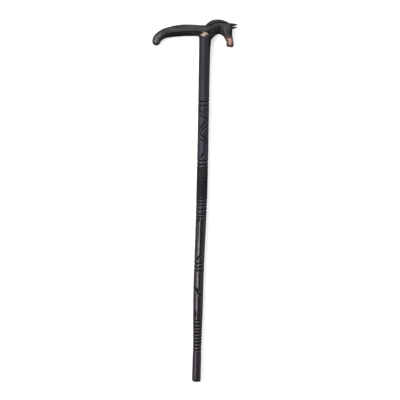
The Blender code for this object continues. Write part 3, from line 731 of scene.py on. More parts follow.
def trimPlaneGroup():
    # pushes what stands past a plane back onto it, as one stroke of a knife does
    tree, entry, leave = newGroup(
        "Trim Plane", "GeometryNodeTree",
        {"Geometry": "Geometry", "Point": "Vector", "Normal": "Vector"}, {"Geometry": "Geometry"})
    place = fromNode(tree, "GeometryNodeInputPosition")
    past = calc("DOT_PRODUCT", place - entry["Point"], entry["Normal"])
    back = entry["Normal"] * -highest(past, 0.0)
    plug(leave["Geometry"], fromNode(tree, "GeometryNodeSetPosition",
                                     {"Geometry": entry["Geometry"], "Offset": back}))
    return tree


def marked(geometry, name, value):
    # the geometry with a value stored on its points
    return fromNode(treeOf([geometry]), "GeometryNodeStoreNamedAttribute",
                    {"Geometry": geometry, "Name": name, "Value": value}, data_type="FLOAT", domain="POINT")


def stickTree():
    tree, entry, leave = newGroup(
        "Carved Stick", "GeometryNodeTree",
        {"Geometry": "Geometry", "Sides": 96, "Groove Width": 0.0044, "Groove Depth": 0.0011,
         "Bead Rise": 0.0002, "Lattice Depth": 0.0008, "Chevron Depth": 0.001, "Leaf Depth": 0.0014,
         "Unevenness": 0.0002, "Seed": 0.0, "Material": "Material"},
        {"Geometry": "Geometry"})
    path = fromNode(tree, "GeometryNodeMeshToCurve", {"Mesh": entry["Geometry"]})
    circle = fromNode(tree, "GeometryNodeCurvePrimitiveCircle",
                      {"Resolution": entry["Sides"], "Radius": 0.001})
    circle = marked(circle, "around", fromNode(tree, "GeometryNodeSplineParameter", output="Factor"))
    tube = fromNode(tree, "GeometryNodeCurveToMesh",
                    {"Curve": path, "Profile Curve": circle, "Fill Caps": True})

    def stored(name):
        return fromNode(tree, "GeometryNodeInputNamedAttribute", {"Name": name}, data_type="FLOAT")

    height, radius, carved = stored("ringHeight"), stored("ringRadius"), stored("ringCarved")
    angle = stored("around") * (2 * math.pi)
    sine, cosine = calc("SINE", angle), calc("COSINE", angle)

    def skinNoise(climb, scale, detail):
        wide = stick["skinRound"]
        place = fromNode(tree, "ShaderNodeCombineXYZ",
                         {0: sine * wide, 1: cosine * wide, 2: height * climb + entry["Seed"]})
        return fromNode(tree, "ShaderNodeTexNoise", {"Vector": place, "Scale": scale, "Detail": detail}) - 0.5

    # the hand scraped skin: long swellings, fine unevenness and the planed face
    (*swelling, much), (*scraping, little) = stick["skin"]
    fine = skinNoise(*scraping)
    uneven = skinNoise(*swelling) * entry["Unevenness"] * much
    uneven = fine * (entry["Unevenness"] * little) + uneven
    facing, wide, depth, *heights = stick["planed"]
    turn = calc("WRAP", angle - math.radians(facing), math.pi, -math.pi) / math.radians(wide)
    face = calc("EXPONENT", -(turn * turn)) * bandMask(height, *heights)
    uneven = face * -depth + uneven

    place = {"Height": height, "Angle": angle}
    results = []
    groove = ringGrooveGroup()
    rings = [ring for band in stick["bands"] for ring in band]
    for i, (middle, lean, share) in enumerate(rings):
        results.append(useGroup(groove, {
            **place, "Middle": middle, "Lean": lean, "Width": entry["Groove Width"],
            "Depth": entry["Groove Depth"] * share, "Bead": entry["Bead Rise"],
            "Seed": entry["Seed"] + stick["grooveSeedStep"] * i}))
    lattice = stick["lattice"]
    results.append(useGroup(latticeGroup(), {
        **place, "Noise": fine, "Low": lattice["low"], "High": lattice["high"], "Turns": lattice["turns"],
        "Pitch": lattice["pitch"], "Width": lattice["width"], "Depth": entry["Lattice Depth"]}))
    chisel = chiselCutGroup()
    for turn in (0, 180):
        for cuts, sizes, depth in ((stick["chevrons"], stick["chevron"], "Chevron Depth"),
                                   (stick["leaves"], stick["leaf"], "Leaf Depth")):
            for start, end, share in cuts:
                results.append(useGroup(chisel, {
                    **place, "Radius": radius, "Start Angle": math.radians(start[0] + turn),
                    "Start Height": start[1], "End Angle": math.radians(end[0] + turn), "End Height": end[1],
                    "Width": sizes["width"], "Share": share, "Depth": entry[depth]}))
    under, share = stick["jointShade"]
    jointShade = rescale(height, shaftTop - under, shaftTop, 0.0, share)
    deepest = highest(*[result["Cut"] for result in results], jointShade)
    outer = sum([result["Offset"] for result in results], uneven) * carved + radius
    forward = highest(sine, 0.0) * stored("ringFlare")
    point = fromNode(tree, "ShaderNodeCombineXYZ",
                     {0: outer * sine + stored("ringBow") + forward, 1: -(outer * cosine), 2: height})
    solid = fromNode(tree, "GeometryNodeSetPosition", {"Geometry": tube, "Position": point})
    # how deep in a cut each point lies, with the joint's shadow; the wood paints shade from it
    solid = marked(solid, "cut", deepest * carved)

    # the foot, cut by hand: a ring of knife strokes, and the flat worn on the side under the grip
    trim = trimPlaneGroup()
    foot = stickRadius(0.0)
    high, wide = stick["footChamfer"]
    strokes = stick["footStrokes"]
    for i in range(strokes):
        turn = 2 * math.pi * (i + 0.3 * math.sin(i * 2.4)) / strokes
        low = wide * (0.95 + 0.18 * math.sin(i * 1.9))
        normal = Vector((math.sin(turn) * high, -math.cos(turn) * high, -low)).normalized()
        start = Vector(((foot - low) * math.sin(turn), -(foot - low) * math.cos(turn), 0.0))
        solid = useGroup(trim, {"Geometry": solid, "Point": start, "Normal": normal})["Geometry"]
    high, wide = stick["wornEdge"]
    solid = useGroup(trim, {"Geometry": solid, "Point": Vector((wide - foot, 0.0, 0.0)),
                            "Normal": Vector((-high, 0.0, -wide)).normalized()})["Geometry"]
    real = fromNode(tree, "GeometryNodeRealizeInstances", {"Geometry": solid})
    plug(leave["Geometry"], fromNode(tree, "GeometryNodeSetMaterial",
                                     {"Geometry": real, "Material": entry["Material"]}))
    return tree


def useTree(item, tree, values):
    modifier = item.modifiers.new(tree.name, "NODES")
    modifier.node_group = tree
    for socket in tree.interface.items_tree:
        if socket.item_type == "SOCKET" and socket.in_out == "INPUT" and socket.name in values:
            modifier[socket.identifier] = values[socket.name]
    graph = bpy.context.evaluated_depsgraph_get()
    mesh = bpy.data.meshes.new_from_object(item.evaluated_get(graph))
    item.modifiers.remove(modifier)
    return mesh


def makeStick(material):
    path, rings = stickPath()
    mesh = useTree(path, stickTree(), {
        "Sides": stick["around"], "Groove Width": stick["grooveWidth"], "Groove Depth": stick["grooveDepth"],
        "Bead Rise": stick["beadRise"], "Lattice Depth": stick["lattice"]["depth"],
        "Chevron Depth": stick["chevron"]["depth"], "Leaf Depth": stick["leaf"]["depth"],
        "Unevenness": stick["unevenness"], "Seed": stick["seed"], "Material": material})
    bpy.data.objects.remove(path, do_unlink=True)
    mesh.name = "carvedStick"
    storeMarks(mesh, "edge", edgeMarks(mesh, stick["crisp"]))
    storeMarks(mesh, "litLedge", upFacingMarks(mesh))
    mesh.shade_smooth()
    mesh.set_sharp_from_angle(angle=stick["sharpAngle"])
    piece = newObject("carvedStick", mesh)
    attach(piece, "root")
    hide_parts("shaft")
    print("stick: %d rings, %d faces" % (rings, len(mesh.polygons)))


# Handle: a loft with whittled flats, grown together with its seat and ears, then carved

handle = {
    "glueLine": 0.0003,
    "ringsPerSpan": 12,
    "around": 144,
    # back x and z, belly x and z, width, fullness, pinch at the back, pinch at the belly
    "grip": ((-0.1328, -0.0112, -0.1116, -0.0144, 0.0225, 2.1, 0.12, 0.10),
             (-0.1302, -0.0014, -0.1074, -0.0099, 0.0239, 2.1, 0.12, 0.10),
             (-0.1225, 0.0080, -0.1018, -0.0065, 0.0250, 2.1, 0.12, 0.10),
             (-0.1115, 0.0164, -0.0955, -0.0042, 0.0263, 2.1, 0.12, 0.10),
             (-0.0972, 0.0226, -0.0842, -0.0023, 0.0269, 2.1, 0.12, 0.10),
             (-0.0775, 0.0279, -0.0704, -0.0004, 0.0275, 2.1, 0.12, 0.10),
             (-0.0561, 0.0312, -0.0525, 0.0014, 0.0275, 2.1, 0.12, 0.10),
             (-0.0310, 0.0317, -0.0310, 0.0024, 0.0275, 2.1, 0.12, 0.10),
             (-0.0140, 0.0309, -0.0140, 0.0024, 0.0275, 2.1, 0.12, 0.10),
             (-0.0025, 0.0314, -0.0025, 0.0024, 0.0275, 2.1, 0.14, 0.10)),
    "neck": ((0.0026, 0.0344, 0.0042, 0.0024, 0.0268, 2.1, 0.24, 0.08),
             (0.0078, 0.0386, 0.0096, 0.0022, 0.0240, 2.1, 0.36, 0.05),
             (0.0152, 0.0434, 0.0176, 0.0018, 0.0224, 2.1, 0.42, 0.05),
             (0.0262, 0.0462, 0.0265, 0.0061, 0.0208, 2.1, 0.44, 0.05),
             (0.0366, 0.0463, 0.0344, 0.0091, 0.0196, 2.1, 0.44, 0.05),
             (0.0476, 0.0440, 0.0386, 0.0083, 0.0198, 2.1, 0.42, 0.08)),
    "head": ((0.0584, 0.0393, 0.0424, 0.0068, 0.0213, 2.2, 0.36, 0.16),
             (0.0668, 0.0340, 0.0452, 0.0044, 0.0229, 2.3, 0.30, 0.20),
             (0.0684, 0.0236, 0.0475, 0.0022, 0.0235, 2.3, 0.26, 0.22),
             (0.0687, 0.0119, 0.0495, -0.0015, 0.0205, 2.3, 0.22, 0.24),
             (0.0694, 0.0044, 0.0516, -0.0046, 0.0173, 2.3, 0.16, 0.24),
             (0.0709, -0.0032, 0.0530, -0.0080, 0.0160, 2.3, 0.10, 0.22),
             (0.0720, -0.0107, 0.0546, -0.0123, 0.0156, 2.4, 0.06, 0.18),
             (0.0729, -0.0167, 0.0538, -0.0175, 0.0160, 2.5, 0.06, 0.20),
             (0.0721, -0.0210, 0.0555, -0.0206, 0.0142, 2.5, 0.08, 0.18)),
    "toeRound": (0.0114, 2.0),       # length and squareness of the dome at the toe
    "lipRound": (0.0026, 2.6),
    # flats left by the knife along the grip: facing angle over the side, depth as a share
    "flats": ((80, 0.016), (48, 0.040), (11, 0.062), (-72, 0.040)),
    "flatsEnd": (0.000, 0.012),      # where the flats fade out towards the neck
    "undercut": {"depth": 0.0017, "edge": -0.20, "run": 0.20, "from": -0.112, "full": -0.088, "end": -0.020},
    "voxel": 0.00046,
    "relaxSteps": 4,
    "crisp": 0.00005,
    "triangles": 150000,
    "seed": 3.0,
}
jointX = stickBow(shaftTop)
jointZ = shaftTop + handle["glueLine"]


def anglesRound(count):
    return np.arange(count) * 2 * math.pi / count


def squarer(wave, fullness):
    return np.sign(wave) * np.abs(wave) ** (2 / fullness)


def ringPoints(section, around):
    # one cross section, in metres from the middle of the joint
    outer, inner = np.array([section[0], 0.0, section[1]]), np.array([section[2], 0.0, section[3]])
    width, fullness, outerPinch, innerPinch = section[4:8]
    angle = anglesRound(around)
    across, along = squarer(np.cos(angle), fullness), squarer(np.sin(angle), fullness)
    pinch = 1 - outerPinch * np.maximum(along, 0) ** 1.5 - innerPinch * np.maximum(-along, 0) ** 1.5
    middle, reach = (outer + inner) / 2, (outer - inner) / 2
    ring = middle + along[:, None] * reach
    ring[:, 1] = across * pinch * width / 2
    return ring


def whittled(ring, section, share):
    # shaves flats along a ring and undercuts its lower half
    outer, inner = np.array([section[0], section[1]]), np.array([section[2], section[3]])
    up = (outer - inner) / np.linalg.norm(outer - inner)
    middle = (outer + inner) / 2
    half = np.linalg.norm(outer - inner) / 2
    u = (ring[:, [0, 2]] - middle) @ up
    v = ring[:, 1].copy()
    groove = handle["undercut"]
    level = u / half
    start = smoothstep(groove["edge"] + 0.02, groove["edge"] - groove["run"], level)
    close = smoothstep(-1.0, -0.75, level)
    v -= np.sign(v) * groove["depth"] * share[1] * start * close
    for angle, cut in handle["flats"]:
        normal = np.array([math.sin(math.radians(angle)), math.cos(math.radians(angle))])
        for side in (-1, 1):
            along = u * normal[0] + v * normal[1] * side
            limit = along.max() * (1 - cut * share[0])
            past = np.maximum(along - limit, 0)
            u = u - past * normal[0]
            v = v - past * normal[1] * side
    ring = ring.copy()
    ring[:, [0, 2]] = middle + u[:, None] * up
    ring[:, 1] = v
    return ring


def smoothstep(low, high, value):
    t = np.clip((np.asarray(value, dtype=float) - low) / (high - low), 0.0, 1.0)
    return t * t * (3 - 2 * t)


def domeRings(ring, axis, length, squareness, steps):
    middle = ring.mean(axis=0)
    rings = []
    for i in range(1, steps + 1):
        t = i / (steps + 0.35)
        shrink = (1 - t ** squareness) ** (1 / squareness)
        rings.append(middle + (ring - middle) * shrink + axis * length * t)
    return rings


def ringAxis(ring, towards):
    around = len(ring)
    back = ring[around // 4] - ring[3 * around // 4]
    axis = np.cross((0.0, 1.0, 0.0), back)
    axis /= np.linalg.norm(axis)
    return axis if axis @ np.array(towards) > 0 else -axis


def bodyRings():
    sections = handle["grip"] + handle["neck"] + handle["head"]
    rows = [(float(i), *section) for i, section in enumerate(sections)]
    spans = handle["ringsPerSpan"]
    groove = handle["undercut"]
    rings = []
    for i in range((len(rows) - 1) * spans + 1):
        section = [smoothValue(rows, i / spans, column) for column in range(1, 9)]
        ring = ringPoints(section, handle["around"])
        place = (section[0] + section[2]) / 2
        flat = 1 - float(smoothstep(*handle["flatsEnd"], place))
        under = float(smoothstep(groove["from"], groove["full"], place))
        under *= 1 - float(smoothstep(groove["end"], groove["end"] + 0.012, place))
        rings.append(whittled(ring, section, (flat, under)))
    toe = domeRings(rings[0], ringAxis(rings[0], (0, 0, -1)), *handle["toeRound"], 18)
    lips = domeRings(rings[-1], ringAxis(rings[-1], (0, 0, -1)), *handle["lipRound"], 8)
    return toe[::-1] + rings + lips


seat = {
    # height over the joint, spread towards the grip, spread towards the head, narrowing at the sides
    "rows": ((0.0, 0.0, 0.0, 0.0), (0.0008, 0.0008, 0.0006, 0.0001), (0.0018, 0.0021, 0.0013, 0.0004),
             (0.0030, 0.0050, 0.0022, 0.0009), (0.0055, 0.0090, 0.0050, 0.0022),
             (0.0090, 0.0100, 0.0090, 0.0044), (0.0120, 0.0060, 0.0060, 0.0070)),
    "rings": 40,
    "around": 96,
    "sunk": 0.00022,                 # how far the seat reaches down into the glue line
    "trueHeight": 0.00030,
}


def seatRings():
    back = stickRadius(shaftTop) + stick["jointSwell"]
    front = back + throatFlare(0.0)
    rings = []
    for i in range(seat["rings"] + 1):
        up = seat["rows"][-1][0] * i / seat["rings"] - seat["sunk"]
        spreadBack, spreadFront, narrow = (smoothValue(seat["rows"], up, column) for column in (1, 2, 3))
        angle = anglesRound(seat["around"])
        forward = np.cos(angle)
        reach = np.where(forward > 0, front + spreadFront, back + spreadBack)
        side = (back - narrow) * np.sin(angle)
        rings.append(np.stack([reach * forward, side, np.full_like(angle, up)], axis=1))
    return rings


ears = {
    # along the ear: x, z, y, half height, half thickness
    "upper": ((0.0580, 0.0325, 0.0030, 0.0052, 0.0036), (0.0640, 0.0330, 0.0042, 0.0050, 0.0036),
              (0.0700, 0.0340, 0.0054, 0.0037, 0.0032), (0.0755, 0.0344, 0.0064, 0.0028, 0.0026),
              (0.0800, 0.0350, 0.0068, 0.0014, 0.0015), (0.0822, 0.0354, 0.0068, 0.0004, 0.0005)),
    "lower": ((0.0590, 0.0245, -0.0040, 0.0050, 0.0034), (0.0640, 0.0251, -0.0052, 0.0046, 0.0036),
              (0.0690, 0.0254, -0.0064, 0.0036, 0.0032), (0.0740, 0.0260, -0.0074, 0.0025, 0.0026),
              (0.0785, 0.0265, -0.0078, 0.0015, 0.0015), (0.0807, 0.0266, -0.0078, 0.0004, 0.0005)),
    "hollow": 0.75,                  # how far the outer side is scooped out, as a share
    "rings": 36,
    "around": 32,
}


def earRings(rows, side):
    rings = []
    table = [(float(i), *row) for i, row in enumerate(rows)]
    for i in range(ears["rings"] + 1):
        at = (len(rows) - 1) * i / ears["rings"]
        x, z, y, high, thick = (smoothValue(table, at, column) for column in range(1, 6))
        angle = anglesRound(ears["around"])
        across, along = np.cos(angle), np.sin(angle)
        scoop = 1 - ears["hollow"] * np.exp(-(along / 0.55) ** 2) * (across > 0)
        out = y + side * thick * across * scoop
        rings.append(np.stack([np.full_like(angle, x), out, z + high * along], axis=1))
    return rings


def closedLoft(rings):
    # points and faces of a skin over rings, with a fan at each end
    around = len(rings[0])
    points = np.concatenate(rings + [rings[0].mean(axis=0)[None], rings[-1].mean(axis=0)[None]])
    faces = []
    for r in range(len(rings) - 1):
        for i in range(around):
            j = (i + 1) % around
            faces.append((r * around + i, r * around + j, (r + 1) * around + j, (r + 1) * around + i))
    first, last = len(points) - 2, len(points) - 1
    top = (len(rings) - 1) * around
    for i in range(around):
        j = (i + 1) % around
        faces.append((j, i, first))
        faces.append((top + i, top + j, last))
    return points, faces


def joinedMesh(name, parts):
    points, faces, start = [], [], 0
    for some, these in parts:
        points.append(some)
        faces += [tuple(start + i for i in face) for face in these]
        start += len(some)
    mesh = bpy.data.meshes.new(name)
    mesh.from_pydata(np.concatenate(points).tolist(), [], faces)
    shape = bmesh.new()
    shape.from_mesh(mesh)
    bmesh.ops.recalc_face_normals(shape, faces=shape.faces)
    shape.to_mesh(mesh)
    shape.free()
    return mesh


def withModifier(mesh, kind, **settings):
    # the mesh as one modifier leaves it
    item = newObject("blank", mesh)
    step = item.modifiers.new(kind, kind)
    for name, value in settings.items():
        setattr(step, name, value)
    graph = bpy.context.evaluated_depsgraph_get()
    made = bpy.data.meshes.new_from_object(item.evaluated_get(graph))
    bpy.data.objects.remove(item, do_unlink=True)
    return made


def readAll(items, name):
    flat = np.empty(len(items) * 3)
    items.foreach_get(name, flat)
    return flat.reshape(-1, 3)


def meshPoints(mesh):
    return readAll(mesh.vertices, "co")


def meshNormals(mesh):
    return readAll(mesh.vertex_normals, "vector")


def setPoints(mesh, points):
    mesh.vertices.foreach_set("co", points.ravel())
    mesh.update()


def neighbours(mesh):
    pairs = np.empty(len(mesh.edges) * 2, dtype=np.int64)
    mesh.edges.foreach_get("vertices", pairs)
    return pairs.reshape(-1, 2)


def relax(points, pairs, steps, strength=0.5):
    # pulls each point towards the middle of its neighbours
    count = np.bincount(pairs.ravel(), minlength=len(points))[:, None]
    for _ in range(steps):
        total = np.zeros_like(points)
        for column in range(points.shape[1]):
            total[:, column] = (np.bincount(pairs[:, 0], points[pairs[:, 1], column], len(points))
                                + np.bincount(pairs[:, 1], points[pairs[:, 0], column], len(points)))
        points = points + (total / count - points) * strength
    return points


def edgeMarks(mesh, crisp):
    # how far each point stands out of its surroundings: 0 on plain wood, 1 on a crisp edge
    points, pairs = meshPoints(mesh), neighbours(mesh)
    out = ((points - relax(points, pairs, 4)) * meshNormals(mesh)).sum(axis=1)
    return smoothstep(0.2 * crisp, crisp, out - np.median(out))


def upFacingMarks(mesh):
    # how far each point looks up: the lower sides of cuts, where the wood paints a highlight
    return smoothstep(0.08, 0.42, meshNormals(mesh)[:, 2])


def storeMarks(mesh, name, values):
    layer = mesh.attributes.new(name, "FLOAT", "POINT")
    layer.data.foreach_set("value", np.ascontiguousarray(values, dtype=np.float32))


carving = {
    # edge of the mane on the side of the neck, from the bar to the poll: x, z
    "maneEdge": ((0.0010, 0.0246), (0.0040, 0.0268), (0.0094, 0.0300), (0.0156, 0.0329), (0.0218, 0.0357),
                 (0.0281, 0.0380), (0.0356, 0.0394), (0.0432, 0.0391), (0.0508, 0.0372), (0.0585, 0.0336)),
    "maneCut": (0.0026, 0.0023),     # depth and half width of the groove
    "maneStep": (0.0007, 0.0060),    # how far the neck lies under the mane, and over what width
    "maneFlank": (0.0025, 0.0050),   # how far off the middle of the neck its edge starts and is full
    "maneFoot": ((0.0030, 0.0255), (-0.0008, 0.0350)),
    "strands": (0.00022, 0.0021, 0.0009, 17),    # lines along the mane: depth, spacing, sway and its turns
    # soft swellings and hollows: x, z, half length, half height, turn in degrees, rise
    "swells": ((0.0508, 0.0205, 0.0095, 0.0120, 12, 0.0014),
               (0.0400, 0.0185, 0.0065, 0.0100, 0, -0.0012),
               (0.0640, 0.0235, 0.0045, 0.0060, 0, 0.0006),
               (0.0560, -0.0010, 0.0050, 0.0090, 15, -0.0006),
               (0.0225, 0.0150, 0.0100, 0.0130, 20, -0.0007),
               (0.0090, 0.0185, 0.0045, 0.0090, 0, 0.0005)),
    "eye": {"place": (0.0640, 0.0143), "half": (0.0040, 0.0026), "turn": -62, "socket": 0.0018,
            "ball": 0.0011, "lid": 0.0006},
    "nostril": {"place": (0.0697, -0.0155), "half": (0.0019, 0.0013), "turn": 60, "depth": 0.0011},
    "mouth": (((0.0597, -0.0245), (0.0591, -0.0170), (0.0581, -0.0105), (0.0577, -0.0070)), 0.0011, 0.0009),
    # the step under the ridge of the bar and a knife's edge above it: x and z, depth, half width, and how
    # dark its painted shade is
    "lines": ((((-0.1058, 0.0019), (-0.0933, 0.0065), (-0.0758, 0.0100), (-0.0506, 0.0117),
                (-0.0053, 0.0139)), 0.0006, 0.0015, 0.9),
              (((-0.0836, 0.0199), (-0.0635, 0.0219), (-0.0383, 0.0224), (-0.0156, 0.0217)),
               0.0003, 0.0010, 0.35)),
    "seam": (0.0012, 0.018, 0.7),    # shadow of the joint: height, reach and how deep it looks
    "gouges": (0.00013, 0.0052, 2.2),    # depth, size and stretch of the knife's scallops
    "headFrom": 0.060,               # where they turn from along the bar to down the head
    "gripWear": 0.35,                # share of them that the hand has left on the grip
}


def pathDistance(points, path):
    # signed distance to a line in the side view, plus to its left, and how far along it lies
    best = np.full(len(points), np.inf)
    signed = np.zeros(len(points))
    along = np.zeros(len(points))
    run = 0.0
    for start, end in zip(path, path[1:]):
        start, end = np.array(start), np.array(end)
        way = end - start
        length = np.linalg.norm(way)
        way /= length
        off = points - start
        t = np.clip(off @ way, 0.0, length)
        gap = off - t[:, None] * way
        distance = np.linalg.norm(gap, axis=1)
        side = np.sign(way[0] * off[:, 1] - way[1] * off[:, 0])
        nearer = distance < best
        best = np.where(nearer, distance, best)
        signed = np.where(nearer, distance * side, signed)
        along = np.where(nearer, run + t, along)
        run += length
    return signed, along / run


def ovalField(points, place, half, turn):
    # 0 in the middle of a turned oval, 1 on its rim
    angle = math.radians(turn)
    off = points - np.array(place)
    a = off[:, 0] * math.cos(angle) + off[:, 1] * math.sin(angle)
    b = -off[:, 0] * math.sin(angle) + off[:, 1] * math.cos(angle)
    return np.sqrt((a / half[0]) ** 2 + (b / half[1]) ** 2)


def vCut(off, half):
    # 1 in the line of a cut, 0 from its half width on
    return np.clip(1 - np.abs(off) / half, 0, 1)


def fadedEnds(along, start, end):
    return smoothstep(0.0, start, along) * (1 - smoothstep(end, 1.0, along))


def carved(points, normals):
    # how far each point of the handle moves along its normal, and how deep in a cut it lies, which the wood
    # paints as shade
    side = points[:, [0, 2]]
    faced = smoothstep(0.15, 0.55, np.abs(normals[:, 1]))
    rise = np.zeros(len(points))
    cut = np.zeros(len(points))

    off, along = pathDistance(side, carving["maneEdge"])
    depth, half = carving["maneCut"]
    ends = fadedEnds(along, 0.05, 0.86)
    flank = smoothstep(*carving["maneFlank"], np.abs(points[:, 1]))
    groove = vCut(off, half) * ends * flank
    step, reach = carving["maneStep"]
    below = np.exp(np.minimum(off, 0) / reach) * smoothstep(0.0004, -0.0010, off) * ends * flank
    rise -= depth * groove + step * below
    cut = np.maximum(cut, groove)
    deep, spacing, sway, turns = carving["strands"]
    wave = np.abs(((off + sway * np.sin(along * turns)) / spacing) % 1.0 - 0.5) * 2
    line = smoothstep(0.55, 1.0, wave) * smoothstep(0.0014, 0.0024, off) * ends
    line = line * smoothstep(0.02, 0.15, along)
    rise -= deep * line
    cut = np.maximum(cut, 0.5 * line)

    off, along = pathDistance(side, carving["maneFoot"])
    groove = vCut(off, half * 0.9) * smoothstep(0.0, 0.15, along)
    rise -= depth * 0.7 * groove
    cut = np.maximum(cut, groove)

    for x, z, long, high, turn, amount in carving["swells"]:
        r = ovalField(side, (x, z), (long, high), turn)
        rise += amount * (1 - smoothstep(0.25, 1.25, r)) * faced

    eye = carving["eye"]
    r = ovalField(side, eye["place"], eye["half"], eye["turn"])
    rise -= eye["socket"] * (1 - smoothstep(0.55, 1.15, r)) * faced
    rise += eye["ball"] * np.sqrt(np.clip(1 - (r / 0.78) ** 2, 0, 1)) * faced
    rise += eye["lid"] * np.exp(-((r - 1.25) / 0.22) ** 2) * faced
    cut = np.maximum(cut, np.exp(-((r - 0.86) / 0.16) ** 2) * faced)
    nostril = carving["nostril"]
    r = ovalField(side, nostril["place"], nostril["half"], nostril["turn"])
    hole = 1 - smoothstep(0.2, 1.1, r)
    rise -= nostril["depth"] * hole * faced
    cut = np.maximum(cut, hole * faced)
    path, depth, half = carving["mouth"]
    off, along = pathDistance(side, path)
    slit = vCut(off, half) * (1 - smoothstep(0.8, 1.0, along))
    rise -= depth * slit
    cut = np.maximum(cut, slit)

    high, reach, deep = carving["seam"]
    seam = smoothstep(high, 0.0, points[:, 2]) * (np.hypot(points[:, 0], points[:, 1]) < reach)
    cut = np.maximum(cut, deep * seam)
    for path, depth, half, mark in carving["lines"]:
        off, along = pathDistance(side, path)
        slit = vCut(off, half) * fadedEnds(along, 0.2, 0.85)
        rise -= depth * slit * faced
        cut = np.maximum(cut, mark * slit * faced)

    depth, size, stretch = carving["gouges"]
    wear = np.where(points[:, 0] < 0.0, carving["gripWear"], 1.0)
    seed = Vector((handle["seed"], handle["seed"] * 2, handle["seed"] * 3))
    scale = np.array([1 / size / stretch, 1 / size, 1 / size])
    head = points[:, 0] > carving["headFrom"]
    scaled = points * np.where(head[:, None], scale[[1, 1, 0]], scale)
    for i, place in enumerate(scaled):
        near = noise.voronoi(Vector(place) + seed)[0][0]
        scaled[i, 0] = near * near
    rise += depth * wear * (scaled[:, 0] - 0.4)
    return rise, cut


def seated(points):
    # the end of the seat made flat and its rim true to the stick's outline
    back = stickRadius(shaftTop) + stick["jointSwell"]
    reach = np.where(points[:, 0] > 0, back + throatFlare(0.0), back)
    share = np.hypot(points[:, 0] / reach, points[:, 1] / back)
    level = -seat["sunk"]
    near = (share < 1.08) & (points[:, 2] < level + seat["trueHeight"])
    points = points.copy()
    rim = near & (share > 0.94)
    points[rim, :2] /= share[rim, None]
    points[near, 2] = level
    return points


def makeHandle(material):
    parts = [closedLoft(bodyRings()), closedLoft(seatRings()),
             closedLoft(earRings(ears["upper"], 1)), closedLoft(earRings(ears["lower"], -1))]
    mesh = withModifier(joinedMesh("horseHandle", parts), "REMESH", mode="VOXEL", voxel_size=handle["voxel"])
    print("handle grown: %d faces" % len(mesh.polygons))
    pairs = neighbours(mesh)
    points = relax(meshPoints(mesh), pairs, handle["relaxSteps"])
    setPoints(mesh, points)
    rise, cut = carved(points, relax(meshNormals(mesh), pairs, 2))
    rise = relax(rise[:, None], pairs, 1)
    points += relax(meshNormals(mesh), pairs, 2) * rise
    points = seated(points)
    points += np.array([jointX, 0.0, jointZ])
    setPoints(mesh, points)
    edge = edgeMarks(mesh, handle["crisp"])
    marks = kdtree.KDTree(len(points))
    for i, place in enumerate(points):
        marks.insert(place, i)
    marks.balance()
    mesh.materials.clear()
    mesh.materials.append(material)
    mesh.shade_smooth()
    mesh = withModifier(mesh, "DECIMATE", ratio=handle["triangles"] / (2 * len(mesh.polygons)))
    nearest = np.array([marks.find(vertex.co)[1] for vertex in mesh.vertices])
    storeMarks(mesh, "cut", cut[nearest])
    storeMarks(mesh, "edge", edge[nearest])
    mesh.name = "horseHandle"
    piece = newObject("horseHandle", mesh)
    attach(piece, "root")
    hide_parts("handle")
    print("handle: %d faces" % len(mesh.polygons))


# Woods

stickFinish = {
    "level": 0.30,                   # of the wood's own gloss
    "coatRoughness": 0.13,           # of the wax over it
    "coatTint": (1.0, 0.86, 1.0),    # what the dark wax takes out of the wood under it
    # stain along the stick's height: violet above, nearly black in the lattice, browner below
    "stain": ((0.0, (0.0235, 0.0178, 0.0245)), (0.070, (0.0215, 0.0166, 0.0225)),
              (0.090, (0.0145, 0.0098, 0.0155)), (0.400, (0.0145, 0.0102, 0.0160)),
              (0.460, (0.0185, 0.0160, 0.0330)), (0.538, (0.0205, 0.0185, 0.0400)),
              (0.556, (0.0375, 0.0340, 0.0560)), (0.600, (0.0350, 0.0320, 0.0530)),
              (0.625, (0.0300, 0.0280, 0.0455)), (0.868, (0.0280, 0.0262, 0.0410))),
    "deep": (0.003, 0.0025, 0.004),  # painted shade in cuts, and the dark of pores
    "worn": (0.085, 0.075, 0.080),   # where an edge is rubbed through
    "dust": (0.10, 0.095, 0.10),
    "litLedge": (0.085, 0.078, 0.084),  # painted highlight on the lower sides of the cuts, which look up
    "satin": 0.50,
    "polished": 0.25,
    "wax": 1.0,                      # where it is polished most
    # how polished the stick is along its height
    "polish": ((0.0, 0.66), (0.066, 0.60), (0.078, 0.84), (0.405, 0.90), (0.424, 0.60), (0.456, 0.60),
               (0.466, 0.08), (0.540, 0.08), (0.548, 0.55), (0.562, 0.15), (0.600, 0.15), (0.688, 0.20),
               (0.702, 0.20), (0.716, 0.06), (0.868, 0.06)),
    "dullBand": (0.456, 0.468, 0.530, 0.545),   # heights of the lattice, which nobody rubbed
    # painted shade on the side under the throat: middle x and z, reach x and z, turn, raggedness, rim
    "throatShade": (0.0128, 0.8585, 0.0036, 0.0160, 0, 0.15, 1.5),
    "stretch": (1.0, 1.0, 0.045),    # of the grain, drawn out along the stick
    "fibreSize": 0.0008,
    "grainSeed": 0.0,
    # how the wood's tone and fibres shade it: low, high, shade at each
    "toneShade": (0.25, 0.75, 0.70, 1.25),
    "fibreShade": (0.2, 0.8, 0.85, 1.12),
    "patchSize": 0.012,              # of the places that hands have rubbed
    "edgeWear": 0.55,
    "scratchShare": 0.6,
    "dustAmount": 0.12,
    "relief": (0.000012, -0.000030, -0.000014),   # of fibres, pores and scratches
    "wander": 0.02,                  # how far the stain's heights sway with the grain
    "throatDim": 0.25,               # how bright the stain stays under the throat's painted shade
    "poreDeep": 0.5,                 # how much of the deep colour a pore shows
    "shadowCut": (0.02, 0.30),       # how deep in a cut its shadow starts and is full
    "lipCut": (0.25, 0.65),          # and where the lit lower side ends
    "lipFibre": (0.25, 0.6, 0.45, 1.0),      # the lit side follows the grain
    "litLedgeShare": (0.9, 0.35),       # share of the painted highlight on lit ledges, outside the lattice and in it
    # what roughness gains or loses: everywhere, by hands, in scratches, in shadows, in the lattice
    "roughSteps": (0.03, -0.06, 0.15, 0.40, 0.15),
    "waxShare": (0.88, 1.0),         # where hands don't rub and where they do
}


